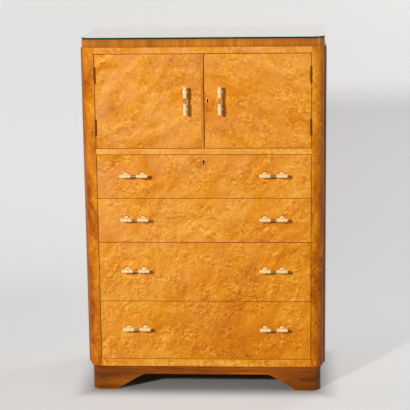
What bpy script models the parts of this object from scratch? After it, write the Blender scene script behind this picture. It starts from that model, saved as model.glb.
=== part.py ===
"""Tallboy: a two-door cupboard above four drawers, on a bracket plinth, with a glass top.

Metres, +Z up. The front faces -Y. The origin is on the floor, under the middle of the whole object.
Run it with: blender --background --python part.py
"""

import math

import bmesh
import bpy
from mathutils import Matrix, Vector

# Whole body
BODY_WIDTH = 0.888
BODY_DEPTH = 0.457
FIT_GAP = 0.0003
FRONT_GAP = 0.0018
CUT_OVERRUN = 0.002

# Heights of the carcase, from the floor up
PLINTH_HEIGHT = 0.0945
BOTTOM_RAIL_HEIGHT = 0.0286
DRAWER_4_HEIGHT = 0.2226
DRAWER_3_HEIGHT = 0.2232
DRAWER_2_HEIGHT = 0.1646
DRAWER_1_HEIGHT = 0.161
MIDDLE_RAIL_HEIGHT = 0.0229
DOOR_HEIGHT = 0.3418
TOP_RAIL_HEIGHT = 0.0235
TOP_BOARD_THICKNESS = 0.0291
GLASS_THICKNESS = 0.006
GLASS_ARRIS = 0.0008

# Posts, side boards and back
POST_RADIUS = 0.045
POST_DEPTH = 0.070
POST_FLAT = 0.0067
SIDE_PROUD = 0.009
SIDE_THICKNESS = 0.018
SIDE_EDGE_RADIUS = 0.009
ROUND_EDGE_SHARE = 0.5
TOP_PROUD = 0.002
BACK_THICKNESS = 0.006
BACK_REBATE_WIDTH = 0.008
BOARD_THICKNESS = 0.012
SHELF_THICKNESS = 0.015
SHELF_SETBACK = 0.085
SHELF_RISE_SHARE = 0.48
HOUSING_DEPTH = 0.005

# Plinth
PLINTH_INSET = 0.008
PLINTH_THICKNESS = 0.020
PLINTH_BLOCK_WIDTH = 0.062
PLINTH_BLOCK_DEPTH = 0.047
FOOT_LENGTH = 0.0935
ARCH_KNEE_RUN = 0.0175
ARCH_KNEE_RISE = 0.0145
ARCH_SLOPE_RUN = 0.0817
ARCH_HEIGHT = 0.0615
ARCH_FILLET = 0.045
SIDE_ARCH_SLOPE_SHARE = 0.643

# Drawers
DRAWER_FRONT_THICKNESS = 0.019
DRAWER_SIDE_THICKNESS = 0.010
DRAWER_BACK_THICKNESS = 0.012
DRAWER_BACK_DROP = 0.010
DRAWER_BOTTOM_THICKNESS = 0.004
DRAWER_TAIL_ROOM = 0.012
GROOVE_DEPTH = 0.005
GROOVE_RISE = 0.008
BOX_HEADROOM = 0.003
DOVETAIL_LAP = 0.012
DOVETAIL_TIP_SHARE = 0.66
DOVETAIL_ROOT_SHARE = 0.46
SHALLOW_DRAWER_TAILS = 3
DEEP_DRAWER_TAILS = 4
DRAWER_BOARD_THICKNESS = 0.018
GUIDE_HEIGHT = 0.006
STOP_WIDTH = 0.040
STOP_DEPTH = 0.025
STOP_RISE = 0.005
STOP_INSET = 0.140

# Doors
DOOR_THICKNESS = 0.020
BEAD_WIDTH = 0.0091
BEAD_PROUD = 0.0015
MEETING_GAP = 0.002

# Hinges
HINGE_LENGTH = 0.060
HINGE_END_DISTANCE = 0.0455
HINGE_AXIS_INSET = 0.0023
HINGE_AXIS_PROUD = 0.0018
BARREL_RADIUS = 0.003
BARREL_COUNT = 5
BARREL_CLEARANCE = 0.0003
PIN_RADIUS = 0.0012
PIN_CLEARANCE = 0.00015
PIN_HEAD_HEIGHT = 0.0012
LEAF_THICKNESS = 0.0014
LEAF_WIDTH = 0.0155
LEAF_INLET = 0.0015

# Bar handles
HANDLE_STANDOFF = 0.0245
HANDLE_TUBE_LENGTH = 0.0405
HANDLE_TUBE_RADIUS = 0.0067
HANDLE_TUBE_ROUNDING = 0.0012
HANDLE_BAR_GAP = 0.021
HANDLE_ROD_RADIUS = 0.00425
RING_RADIUS = 0.0075
RING_WIDTH = 0.010
NECK_RADIUS = 0.0056
FOOT_RADIUS = 0.0092
FOOT_FLARE = 0.007
ROSETTE_RADIUS = 0.0125
ROSETTE_THICKNESS = 0.0026
ROSETTE_RIM = 0.0008
ROSETTE_CROWN_RADIUS = 0.0103
SCREW_RADIUS = 0.0017
SCREW_CLEARANCE = 0.0004
SCREW_HEAD_RADIUS = 0.0042
SCREW_HEAD_HEIGHT = 0.0022
DRAWER_HANDLE_INSET = 0.137
DRAWER_HANDLE_DROP_SHARE = 0.464
DOOR_HANDLE_OFFSET = 0.062
DOOR_HANDLE_RISE = 0.004

# Locks and the bolt inside the left-hand door
KEYHOLE_HEIGHT = 0.0135
KEYHOLE_RADIUS = 0.0028
KEYHOLE_SLOT_WIDTH = 0.0032
ESCUTCHEON_WIDTH = 0.012
ESCUTCHEON_HEIGHT = 0.022
ESCUTCHEON_POCKET = 0.0008
DOOR_KEYHOLE_INSET = 0.012
DOOR_KEYHOLE_RISE = 0.002
DRAWER_KEYHOLE_DROP = 0.0284
LOCK_CASE_DEPTH = 0.011
LOCK_PLATE = 0.003
LOCK_CASE_LENGTH = 0.050
DOOR_LOCK_WIDTH = 0.034
DRAWER_LOCK_HEIGHT = 0.042
LOCK_BOLT_WIDTH = 0.012
LOCK_BOLT_THICKNESS = 0.005
LOCK_BOLT_LENGTH = 0.0205
LOCK_BOLT_OFFSET = 0.014
LOCK_BOLT_THROW = 0.008
BOLT_CLEARANCE = 0.0005
ROD_RADIUS = 0.003
ROD_LENGTH = 0.042
ROD_THROW = 0.010
ROD_TOP_CLEARANCE = 0.001
ROD_DISTANCE = 0.014
ROD_CLEARANCE = 0.00025
BOLT_CASE_WIDTH = 0.014
BOLT_CASE_DEPTH = 0.009
BOLT_CASE_LENGTH = 0.044
BOLT_CASE_TOP_DISTANCE = 0.004
KNOB_RADIUS = 0.002
KNOB_REACH = 0.009
KNOB_DROP = 0.027

# Facets of round shapes
ROUND_SIDES = 12
POST_SIDES = 10
SMALL_ROUND_SIDES = 8
CORNER_STEPS = 6
EDGE_STEPS = 3
OVAL_SIDES = 16
MERGE_DISTANCE = 0.000001
SMOOTH_ANGLE = math.radians(40)

# Colours, roughness and metallic value of each finish
MAPLE = ((0.78, 0.36, 0.08), 0.30, 0.0)
CROSSBAND = ((0.52, 0.20, 0.05), 0.30, 0.0)
WALNUT = ((0.22, 0.07, 0.02), 0.35, 0.0)
BIRCH_PLY = ((0.62, 0.42, 0.22), 0.60, 0.0)
BEECH = ((0.60, 0.38, 0.20), 0.55, 0.0)
CREAM = ((0.93, 0.77, 0.42), 0.30, 0.0)
BRONZE = ((0.20, 0.10, 0.05), 0.40, 1.0)
BRASS = ((0.75, 0.52, 0.25), 0.30, 1.0)
GLASS = ((0.60, 0.80, 0.75), 0.05, 0.0)

# Places worked out from the sizes above
HANDLE_REACH = HANDLE_STANDOFF + RING_RADIUS
FRONT_Y = (HANDLE_REACH - BODY_DEPTH) / 2
REAR_Y = FRONT_Y + BODY_DEPTH
HALF_WIDTH = BODY_WIDTH / 2
SIDE_INNER = HALF_WIDTH - SIDE_THICKNESS
POST_HALF = HALF_WIDTH - SIDE_PROUD
OPENING_HALF = POST_HALF - POST_RADIUS
POST_CENTRE_Y = FRONT_Y + POST_RADIUS
POST_REAR_Y = FRONT_Y + POST_DEPTH
SIDE_FRONT_Y = POST_CENTRE_Y + POST_FLAT + FIT_GAP
BACK_FRONT_Y = REAR_Y - BACK_THICKNESS
INNER_REAR_Y = BACK_FRONT_Y - FIT_GAP

CARCASE_Z = PLINTH_HEIGHT + FIT_GAP
DRAWER_4_LINE = CARCASE_Z + BOTTOM_RAIL_HEIGHT
DRAWER_3_LINE = DRAWER_4_LINE + DRAWER_4_HEIGHT
DRAWER_2_LINE = DRAWER_3_LINE + DRAWER_3_HEIGHT
DRAWER_1_LINE = DRAWER_2_LINE + DRAWER_2_HEIGHT
MIDDLE_RAIL_LINE = DRAWER_1_LINE + DRAWER_1_HEIGHT
DOOR_LINE = MIDDLE_RAIL_LINE + MIDDLE_RAIL_HEIGHT
TOP_RAIL_LINE = DOOR_LINE + DOOR_HEIGHT
CARCASE_TOP_Z = TOP_RAIL_LINE + TOP_RAIL_HEIGHT
TOP_BOARD_Z = CARCASE_TOP_Z + FIT_GAP
GLASS_Z = TOP_BOARD_Z + TOP_BOARD_THICKNESS + FIT_GAP

FRONT_HALF = OPENING_HALF - FRONT_GAP
FRONT_BACK_Y = FRONT_Y + DRAWER_FRONT_THICKNESS
SIDE_GRAIN_HALF = FRONT_HALF - DRAWER_SIDE_THICKNESS
DRAWER_REAR_Y = INNER_REAR_Y - DRAWER_TAIL_ROOM
DRAWER_LINES = {
    1: (DRAWER_1_LINE, MIDDLE_RAIL_LINE),
    2: (DRAWER_2_LINE, DRAWER_1_LINE),
    3: (DRAWER_3_LINE, DRAWER_2_LINE),
    4: (DRAWER_4_LINE, DRAWER_3_LINE),
}
DRAWER_TAILS = {
    1: SHALLOW_DRAWER_TAILS,
    2: SHALLOW_DRAWER_TAILS,
    3: DEEP_DRAWER_TAILS,
    4: DEEP_DRAWER_TAILS,
}

DOOR_BOTTOM_Z = DOOR_LINE + FRONT_GAP / 2
DOOR_TOP_Z = TOP_RAIL_LINE - FRONT_GAP / 2
DOOR_MIDDLE_Z = (DOOR_BOTTOM_Z + DOOR_TOP_Z) / 2
DOOR_BACK_Y = FRONT_Y + DOOR_THICKNESS
DOOR_EDGE_X = (FIT_GAP + BEAD_WIDTH + MEETING_GAP) / 2
BEAD_EDGE_X = DOOR_EDGE_X - MEETING_GAP
HINGE_X = OPENING_HALF - HINGE_AXIS_INSET
HINGE_Y = FRONT_Y - HINGE_AXIS_PROUD
HINGE_HALF = HINGE_LENGTH / 2
HINGE_CENTRES = (
    DOOR_TOP_Z - HINGE_END_DISTANCE - HINGE_HALF,
    DOOR_BOTTOM_Z + HINGE_END_DISTANCE + HINGE_HALF,
)

DOOR_KEYHOLE_X = DOOR_EDGE_X + DOOR_KEYHOLE_INSET
DOOR_KEYHOLE_Z = DOOR_MIDDLE_Z + DOOR_KEYHOLE_RISE
DRAWER_KEYHOLE_Z = MIDDLE_RAIL_LINE - DRAWER_KEYHOLE_DROP
DRAWER_1_TOP_Z = MIDDLE_RAIL_LINE - FRONT_GAP / 2
ROD_X = -DOOR_EDGE_X - ROD_DISTANCE
ROD_Y = DOOR_BACK_Y + FIT_GAP + BOLT_CASE_DEPTH / 2
ROD_TOP_Z = DOOR_TOP_Z - ROD_TOP_CLEARANCE

PLINTH_HALF = POST_HALF - PLINTH_INSET
PLINTH_FRONT_Y = FRONT_Y + PLINTH_INSET
PLINTH_REAR_Y = REAR_Y - PLINTH_INSET
PLINTH_BLOCK_Y = PLINTH_FRONT_Y + PLINTH_BLOCK_DEPTH


# Mesh tools

def box(low, high):
    """A block between two opposite corners."""
    mesh = bmesh.new()
    bmesh.ops.create_cube(mesh, size=1)
    size = Vector(high) - Vector(low)
    middle = (Vector(high) + Vector(low)) / 2
    bmesh.ops.scale(mesh, vec=size, verts=mesh.verts)
    bmesh.ops.translate(mesh, vec=middle, verts=mesh.verts)
    return mesh


def prism(outline, axis, start, end):
    """An outline in the plane across an axis, extruded along it. Points are given in X, Y, Z order."""
    mesh = bmesh.new()
    slot = "XYZ".index(axis)
    corners = []
    for first, second in outline:
        place = [first, second]
        place.insert(slot, start)
        corners.append(mesh.verts.new(place))
    face = mesh.faces.new(corners)
    made = bmesh.ops.extrude_face_region(mesh, geom=[face])
    moved = [item for item in made["geom"] if isinstance(item, bmesh.types.BMVert)]
    travel = [0, 0, 0]
    travel[slot] = end - start
    bmesh.ops.translate(mesh, vec=travel, verts=moved)
    bmesh.ops.recalc_face_normals(mesh, faces=mesh.faces)
    return mesh


def turned(profile, axis, centre, sides, closed=False):
    """A profile of (radius, distance along the axis) points, spun about an axis through the centre."""
    mesh = bmesh.new()
    corners = [mesh.verts.new((radius, 0, along)) for radius, along in profile]
    for near, far in zip(corners, corners[1:]):
        mesh.edges.new((near, far))
    if closed:
        mesh.edges.new((corners[-1], corners[0]))
    bmesh.ops.spin(
        mesh,
        geom=list(mesh.verts) + list(mesh.edges),
        axis=(0, 0, 1),
        cent=(0, 0, 0),
        angle=math.tau,
        steps=sides,
        use_merge=True,
    )
    bmesh.ops.remove_doubles(mesh, verts=mesh.verts, dist=MERGE_DISTANCE)
    bmesh.ops.recalc_face_normals(mesh, faces=mesh.faces)
    turn = {
        "X": Matrix.Rotation(math.pi / 2, 4, "Y"),
        "Y": Matrix.Rotation(-math.pi / 2, 4, "X"),
        "Z": Matrix.Identity(4),
    }[axis]
    mesh.transform(Matrix.Translation(centre) @ turn)
    return mesh


def rod(radius, axis, centre, start, end, sides):
    """A plain round bar from start to end along an axis, measured from the centre."""
    return turned([(0, start), (radius, start), (radius, end), (0, end)], axis, centre, sides)


def copied(mesh):
    """A copy of a mesh."""
    return mesh.copy()


def mirrored(mesh):
    """The same shape on the other side of the middle plane."""
    bmesh.ops.scale(mesh, vec=(-1, 1, 1), verts=mesh.verts)
    bmesh.ops.reverse_faces(mesh, faces=mesh.faces)
    return mesh


def gathered(meshes):
    """Several separate bodies in one mesh."""
    whole = bmesh.new()
    for mesh in meshes:
        data = bpy.data.meshes.new("gathered")
        mesh.to_mesh(data)
        mesh.free()
        whole.from_mesh(data)
        bpy.data.meshes.remove(data)
    return whole


def loose_object(name, mesh):
    """A scratch object that holds a mesh while a modifier works on it."""
    data = bpy.data.meshes.new(name)
    mesh.to_mesh(data)
    mesh.free()
    holder = bpy.data.objects.new(name, data)
    bpy.context.scene.collection.objects.link(holder)
    return holder


def combined(mesh, tool, operation):
    """A mesh after a Boolean with a tool mesh, which is used up."""
    body = loose_object("body", mesh)
    cutter = loose_object("cutter", tool)
    cutter.hide_render = True
    cutter.display_type = "WIRE"
    modifier = body.modifiers.new("combine", "BOOLEAN")
    modifier.operation = operation
    modifier.solver = "EXACT"
    modifier.object = cutter
    result = bmesh.new()
    result.from_object(body, bpy.context.evaluated_depsgraph_get())
    for holder in (body, cutter):
        data = holder.data
        bpy.data.objects.remove(holder)
        bpy.data.meshes.remove(data)
    return result


def cut(mesh, tool):
    """A mesh with a tool cut out of it."""
    return combined(mesh, tool, "DIFFERENCE")


def fused(mesh, tool):
    """A mesh joined to another that it overlaps."""
    return combined(mesh, tool, "UNION")


def arc(centre, radius, start, end, steps):
    """Points on an arc, both ends among them. Angles are in degrees."""
    points = []
    for step in range(steps + 1):
        angle = math.radians(start + (end - start) * step / steps)
        points.append((centre[0] + radius * math.cos(angle), centre[1] + radius * math.sin(angle)))
    return points


# Scene tools

def clear_scene():
    """Remove every object of the scene."""
    for item in list(bpy.data.objects):
        bpy.data.objects.remove(item)


def finish_material(name, finish):
    """A Principled material for one sub-part."""
    colour, roughness, metallic = finish
    material = bpy.data.materials.new(name)
    material.use_nodes = True
    shader = material.node_tree.nodes["Principled BSDF"]
    shader.inputs["Base Color"].default_value = (*colour, 1)
    shader.inputs["Roughness"].default_value = roughness
    shader.inputs["Metallic"].default_value = metallic
    return material


def pivot(name, place, parent=None):
    """An empty on the axis of a moving piece."""
    holder = bpy.data.objects.new(name, None)
    bpy.context.scene.collection.objects.link(holder)
    set_place(holder, place, parent)
    return holder


def set_place(item, place, parent):
    """Place an object at a world point, under its parent if it has one."""
    item.location = place
    if parent is not None:
        item.parent = parent
        item.location = Vector(place) - world_place(parent)


def world_place(item):
    """The world place of an unturned object, added up through its parents."""
    place = item.location.copy()
    while item.parent is not None:
        item = item.parent
        place += item.location
    return place


def part(name, mesh, finish, parent=None, at=None):
    """A named sub-part. Its origin is at its middle, or on its joint's axis where a place is given."""
    if at is None:
        corners = [vert.co for vert in mesh.verts]
        low = Vector([min(corner[slot] for corner in corners) for slot in range(3)])
        high = Vector([max(corner[slot] for corner in corners) for slot in range(3)])
        at = (low + high) / 2
    bmesh.ops.translate(mesh, vec=-Vector(at), verts=mesh.verts)
    data = bpy.data.meshes.new(name)
    mesh.to_mesh(data)
    mesh.free()
    data.shade_smooth()
    data.set_sharp_from_angle(angle=SMOOTH_ANGLE)
    data.materials.append(finish_material(name, finish))
    item = bpy.data.objects.new(name, data)
    bpy.context.scene.collection.objects.link(item)
    set_place(item, at, parent)
    return item


# Carcase

def rounded_top_outline():
    """The plan of the top board and its glass: square at the back, round at the front corners."""
    radius = POST_RADIUS + TOP_PROUD
    left = arc((-OPENING_HALF, POST_CENTRE_Y), radius, 180, 270, CORNER_STEPS)
    right = arc((OPENING_HALF, POST_CENTRE_Y), radius, 270, 360, CORNER_STEPS)
    outer = OPENING_HALF + radius
    return left + right + [(outer, REAR_Y), (-outer, REAR_Y)]


def make_top():
    """The top board and the plate of glass that lies on it."""
    board = prism(rounded_top_outline(), "Z", TOP_BOARD_Z, TOP_BOARD_Z + TOP_BOARD_THICKNESS)
    part("top_board", board, CROSSBAND)
    glass_top_z = GLASS_Z + GLASS_THICKNESS
    glass = prism(rounded_top_outline(), "Z", GLASS_Z, glass_top_z)
    rim = [edge for edge in glass.edges if min(vert.co.z for vert in edge.verts) > glass_top_z - GLASS_ARRIS]
    bmesh.ops.bevel(glass, geom=rim, offset=GLASS_ARRIS, segments=1, affect="EDGES")
    part("glass_top", glass, GLASS)


def leaf_pocket(centre_z):
    """The inlet in the right-hand post for a hinge leaf and its barrel."""
    return box(
        (OPENING_HALF - CUT_OVERRUN, FRONT_Y - CUT_OVERRUN, centre_z - HINGE_HALF - FIT_GAP),
        (OPENING_HALF + LEAF_INLET, FRONT_Y + LEAF_WIDTH + FIT_GAP, centre_z + HINGE_HALF + FIT_GAP),
    )


def make_posts():
    """The quarter-round posts, each with a rebate behind for the side board."""
    rebate_y = SIDE_FRONT_Y - FIT_GAP
    tongue_x = SIDE_INNER - FIT_GAP
    outline = arc((OPENING_HALF, POST_CENTRE_Y), POST_RADIUS, 270, 360, CORNER_STEPS)
    outline += [(POST_HALF, rebate_y), (tongue_x, rebate_y)]
    outline += [(tongue_x, POST_REAR_Y), (OPENING_HALF, POST_REAR_Y)]
    right = prism(outline, "Z", CARCASE_Z, CARCASE_TOP_Z)
    right = cut(right, gathered([leaf_pocket(centre) for centre in HINGE_CENTRES]))
    left = mirrored(copied(right))
    part("corner_post_right", right, MAPLE)
    part("corner_post_left", left, MAPLE)


def make_sides():
    """The side boards: rounded front, top and bottom edges, a rebate for the back, and housings."""
    rebate_x = SIDE_INNER + BACK_REBATE_WIDTH
    rebate_y = BACK_FRONT_Y - FIT_GAP
    outline = [
        (SIDE_INNER, SIDE_FRONT_Y),
        (HALF_WIDTH, SIDE_FRONT_Y),
        (HALF_WIDTH, REAR_Y),
        (rebate_x, REAR_Y),
        (rebate_x, rebate_y),
        (SIDE_INNER, rebate_y),
    ]
    right = prism(outline, "Z", CARCASE_Z, CARCASE_TOP_Z)
    rounded = []
    for edge in right.edges:
        outer = all(abs(vert.co.x - HALF_WIDTH) < FIT_GAP for vert in edge.verts)
        rear = all(abs(vert.co.y - REAR_Y) < FIT_GAP for vert in edge.verts)
        if outer and not rear:
            rounded.append(edge)
    bmesh.ops.bevel(
        right,
        geom=rounded,
        offset=SIDE_EDGE_RADIUS,
        segments=EDGE_STEPS,
        profile=ROUND_EDGE_SHARE,
        affect="EDGES",
    )
    for name in board_levels():
        right = cut(right, board_box(name, FIT_GAP))
    left = mirrored(copied(right))
    part("side_right", right, MAPLE)
    part("side_left", left, MAPLE)


def make_front_rails():
    """The three rails that show between the posts."""
    half = OPENING_HALF - FIT_GAP
    half_gap = FRONT_GAP / 2
    bottom = box((-half, FRONT_Y, CARCASE_Z), (half, POST_REAR_Y, DRAWER_4_LINE - half_gap))
    lip_top = DRAWER_4_LINE + DRAWER_BOARD_THICKNESS / 2
    lip = box((-half, FRONT_BACK_Y + FIT_GAP, CARCASE_Z), (half, POST_REAR_Y, lip_top))
    part("bottom_rail", fused(fused(bottom, lip), drawer_stops(lip_top)), MAPLE)
    middle = box((-half, FRONT_Y, MIDDLE_RAIL_LINE + half_gap), (half, POST_REAR_Y, DOOR_LINE - half_gap))
    part("middle_rail", cut(middle, drawer_bolt_mortise()), MAPLE)
    top = box((-half, FRONT_Y, TOP_RAIL_LINE + half_gap), (half, POST_REAR_Y, CARCASE_TOP_Z))
    socket = rod(
        ROD_RADIUS + BOLT_CLEARANCE,
        "Z",
        (ROD_X, ROD_Y, 0),
        TOP_RAIL_LINE - CUT_OVERRUN,
        ROD_TOP_Z + ROD_THROW + BOLT_CLEARANCE,
        ROUND_SIDES,
    )
    part("top_rail", cut(top, socket), MAPLE)


def board_levels():
    """The underside, top and front edge of each board that is housed in the side boards."""
    half = DRAWER_BOARD_THICKNESS / 2
    behind_post = POST_REAR_Y + FIT_GAP
    levels = {
        "carcase_bottom": (DRAWER_4_LINE - half, DRAWER_4_LINE + half, behind_post),
        "drawer_board_3": (DRAWER_3_LINE - half, DRAWER_3_LINE + half, behind_post),
        "drawer_board_2": (DRAWER_2_LINE - half, DRAWER_2_LINE + half, behind_post),
        "drawer_board_1": (DRAWER_1_LINE - half, DRAWER_1_LINE + half, behind_post),
    }
    floor_top = DOOR_LINE - FRONT_GAP / 2
    levels["cupboard_floor"] = (floor_top - BOARD_THICKNESS, floor_top, behind_post)
    shelf_z = DOOR_LINE + DOOR_HEIGHT * SHELF_RISE_SHARE
    levels["shelf"] = (shelf_z, shelf_z + SHELF_THICKNESS, FRONT_Y + SHELF_SETBACK)
    return levels


def board_box(name, growth):
    """A housed board, or with a growth the room for its right-hand end."""
    low, high, front = board_levels()[name]
    reach = SIDE_INNER + HOUSING_DEPTH
    if growth:
        return box((0, front - growth, low - growth), (reach, REAR_Y + CUT_OVERRUN, high + growth))
    reach -= FIT_GAP
    return box((-reach, front, low), (reach, INNER_REAR_Y, high))


def make_boards():
    """The back, the cupboard floor and the shelf."""
    back_half = SIDE_INNER + BACK_REBATE_WIDTH - FIT_GAP
    back = box((-back_half, BACK_FRONT_Y, CARCASE_Z), (back_half, REAR_Y, CARCASE_TOP_Z))
    part("back_panel", back, BIRCH_PLY)
    part("cupboard_floor", board_box("cupboard_floor", 0), BIRCH_PLY)
    part("shelf", board_box("shelf", 0), MAPLE)


def drawer_stops(board_top):
    """The two blocks, glued to a board or rail, that a drawer's front shuts against."""
    start = FRONT_BACK_Y + FIT_GAP
    stops = []
    for middle in (STOP_INSET - OPENING_HALF, OPENING_HALF - STOP_INSET):
        low = (middle - STOP_WIDTH / 2, start, board_top - STOP_RISE)
        high = (middle + STOP_WIDTH / 2, start + STOP_DEPTH, board_top + STOP_RISE)
        stops.append(box(low, high))
    return gathered(stops)


def make_drawer_boards():
    """The boards that the drawers run on, each with two guides, and a lip and stops between the posts."""
    lip_half = OPENING_HALF - FIT_GAP
    lip_front = FRONT_BACK_Y + FIT_GAP
    inner = SIDE_INNER - FIT_GAP
    for name in ("drawer_board_1", "drawer_board_2", "drawer_board_3", "carcase_bottom"):
        low, high, front = board_levels()[name]
        board = board_box(name, 0)
        for side in (-1, 1):
            near, far = sorted((side * OPENING_HALF, side * inner))
            guide = box((near, front, high - GUIDE_HEIGHT), (far, INNER_REAR_Y, high + GUIDE_HEIGHT))
            board = fused(board, guide)
        if name != "carcase_bottom":
            lip = box((-lip_half, lip_front, low), (lip_half, front + STOP_DEPTH, high))
            board = fused(fused(board, lip), drawer_stops(high))
        part(name, board, BEECH)


# Plinth

def arch_outline(middle, half_span, slope_run):
    """The cut between two feet: a steep knee at each foot, a slope, and a fillet into a level top."""
    rise = ARCH_HEIGHT - ARCH_KNEE_RISE
    slope = math.degrees(math.atan2(rise, slope_run))
    tangent = ARCH_FILLET * math.tan(math.radians(slope) / 2)
    corner = half_span - ARCH_KNEE_RUN - slope_run
    centre = (corner - tangent, ARCH_HEIGHT - ARCH_FILLET)
    half = [(half_span, -CUT_OVERRUN), (half_span, 0), (half_span - ARCH_KNEE_RUN, ARCH_KNEE_RISE)]
    half += arc(centre, ARCH_FILLET, 90 - slope, 90, EDGE_STEPS)
    right = [(middle + along, height) for along, height in half]
    left = [(middle - along, height) for along, height in reversed(half)]
    return right + left


def make_plinth():
    """The plinth: an arched front with round corners, arched sides and a plain back."""
    radius = POST_RADIUS - PLINTH_INSET
    inner = PLINTH_HALF - PLINTH_BLOCK_WIDTH
    board_back = PLINTH_FRONT_Y + PLINTH_THICKNESS
    outline = [(-PLINTH_HALF, PLINTH_BLOCK_Y)]
    outline += arc((-OPENING_HALF, POST_CENTRE_Y), radius, 180, 270, CORNER_STEPS)
    outline += arc((OPENING_HALF, POST_CENTRE_Y), radius, 270, 360, CORNER_STEPS)
    outline += [
        (PLINTH_HALF, PLINTH_BLOCK_Y),
        (inner, PLINTH_BLOCK_Y),
        (inner, board_back),
        (-inner, board_back),
        (-inner, PLINTH_BLOCK_Y),
    ]
    front = prism(outline, "Z", 0, PLINTH_HEIGHT)
    front_arch = arch_outline(0, PLINTH_HALF - FOOT_LENGTH, ARCH_SLOPE_RUN)
    arch = prism(front_arch, "Y", PLINTH_FRONT_Y - CUT_OVERRUN, PLINTH_BLOCK_Y + CUT_OVERRUN)
    part("plinth_front", cut(front, arch), WALNUT)

    side_inner = PLINTH_HALF - PLINTH_THICKNESS
    right = box((side_inner, PLINTH_BLOCK_Y + FIT_GAP, 0), (PLINTH_HALF, PLINTH_REAR_Y, PLINTH_HEIGHT))
    middle = (PLINTH_FRONT_Y + PLINTH_REAR_Y) / 2
    half_span = (PLINTH_REAR_Y - PLINTH_FRONT_Y) / 2 - FOOT_LENGTH
    side_arch = arch_outline(middle, half_span, half_span * SIDE_ARCH_SLOPE_SHARE)
    right = cut(right, prism(side_arch, "X", side_inner - CUT_OVERRUN, PLINTH_HALF + CUT_OVERRUN))
    left = mirrored(copied(right))
    part("plinth_right", right, WALNUT)
    part("plinth_left", left, WALNUT)

    back_half = side_inner - FIT_GAP
    back = box((-back_half, PLINTH_REAR_Y - PLINTH_THICKNESS, 0), (back_half, PLINTH_REAR_Y, PLINTH_HEIGHT))
    part("plinth_back", back, WALNUT)


# Bar handles

def bar_profile():
    """Half of the bar's profile: a chrome rod, a cream tube over it, and the bracket's ring on the tube."""
    inner_end = HANDLE_BAR_GAP / 2
    outer_end = inner_end + HANDLE_TUBE_LENGTH
    ring_middle = inner_end + HANDLE_TUBE_LENGTH / 2
    ring_start = ring_middle - RING_WIDTH / 2
    ring_end = ring_middle + RING_WIDTH / 2
    return [
        (HANDLE_ROD_RADIUS, inner_end),
        (HANDLE_TUBE_RADIUS, inner_end),
        (HANDLE_TUBE_RADIUS, ring_start),
        (RING_RADIUS, ring_start),
        (RING_RADIUS, ring_end),
        (HANDLE_TUBE_RADIUS, ring_end),
        (HANDLE_TUBE_RADIUS, outer_end - HANDLE_TUBE_ROUNDING),
        (HANDLE_TUBE_RADIUS - HANDLE_TUBE_ROUNDING, outer_end),
        (0, outer_end),
    ]


def make_bar_handle(wall_thickness):
    """One assembled handle, level along X, with the wood's face at Y = 0."""
    half = bar_profile()
    profile = [(radius, -along) for radius, along in reversed(half)] + half
    handle = turned(profile, "X", (0, -HANDLE_STANDOFF, 0), ROUND_SIDES)
    head_start = wall_thickness + FIT_GAP
    neck_start = ROSETTE_THICKNESS + FOOT_FLARE
    post_profile = [
        (0, head_start + SCREW_HEAD_HEIGHT),
        (SCREW_HEAD_RADIUS, head_start),
        (SCREW_RADIUS, head_start),
        (SCREW_RADIUS, -FIT_GAP),
        (ROSETTE_RADIUS, -FIT_GAP),
        (ROSETTE_RADIUS, -ROSETTE_RIM),
        (ROSETTE_CROWN_RADIUS, -ROSETTE_THICKNESS),
        (FOOT_RADIUS, -ROSETTE_THICKNESS),
        (NECK_RADIUS, -neck_start),
        (NECK_RADIUS, -HANDLE_STANDOFF),
        (0, -HANDLE_STANDOFF),
    ]
    reach = (HANDLE_BAR_GAP + HANDLE_TUBE_LENGTH) / 2
    for place in (-reach, reach):
        handle = fused(handle, turned(post_profile, "Y", (place, 0, 0), POST_SIDES))
    return handle


def screw_places(centre, upright):
    """The two screw places of a handle, as (x, z) points."""
    reach = (HANDLE_BAR_GAP + HANDLE_TUBE_LENGTH) / 2
    if upright:
        return [(centre[0], centre[1] - reach), (centre[0], centre[1] + reach)]
    return [(centre[0] - reach, centre[1]), (centre[0] + reach, centre[1])]


def screw_holes(centres, upright, wall_thickness):
    """The clearance holes for the handle screws through a door or a drawer front."""
    holes = []
    for centre in centres:
        for place_x, place_z in screw_places(centre, upright):
            holes.append(
                rod(
                    SCREW_RADIUS + SCREW_CLEARANCE,
                    "Y",
                    (place_x, FRONT_Y, place_z),
                    -CUT_OVERRUN,
                    wall_thickness + CUT_OVERRUN,
                    SMALL_ROUND_SIDES,
                )
            )
    return gathered(holes)


def make_handle(name, centre, upright, wall_thickness, parent):
    """A handle screwed to a door or a drawer front."""
    handle = make_bar_handle(wall_thickness)
    turn = Matrix.Identity(4)
    if upright:
        turn = Matrix.Rotation(math.pi / 2, 4, "Y")
    handle.transform(Matrix.Translation((centre[0], FRONT_Y, centre[1])) @ turn)
    part(name, handle, CREAM, parent)


# Keyholes and locks

def keyhole_outline(centre_x, centre_z):
    """A round top over a narrow slot, as (x, z) points."""
    half_slot = KEYHOLE_SLOT_WIDTH / 2
    circle_z = centre_z + KEYHOLE_HEIGHT / 2 - KEYHOLE_RADIUS
    opening = math.degrees(math.asin(half_slot / KEYHOLE_RADIUS))
    points = arc((centre_x, circle_z), KEYHOLE_RADIUS, opening - 90, 270 - opening, OVAL_SIDES // 2)
    bottom = centre_z - KEYHOLE_HEIGHT / 2
    return points + [(centre_x - half_slot, bottom), (centre_x + half_slot, bottom)]


def oval_outline(centre_x, centre_z):
    """The outline of an escutcheon's pocket, as (x, z) points."""
    points = []
    for step in range(OVAL_SIDES):
        angle = math.tau * step / OVAL_SIDES
        across = ESCUTCHEON_WIDTH / 2 * math.cos(angle)
        points.append((centre_x + across, centre_z + ESCUTCHEON_HEIGHT / 2 * math.sin(angle)))
    return points


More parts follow.
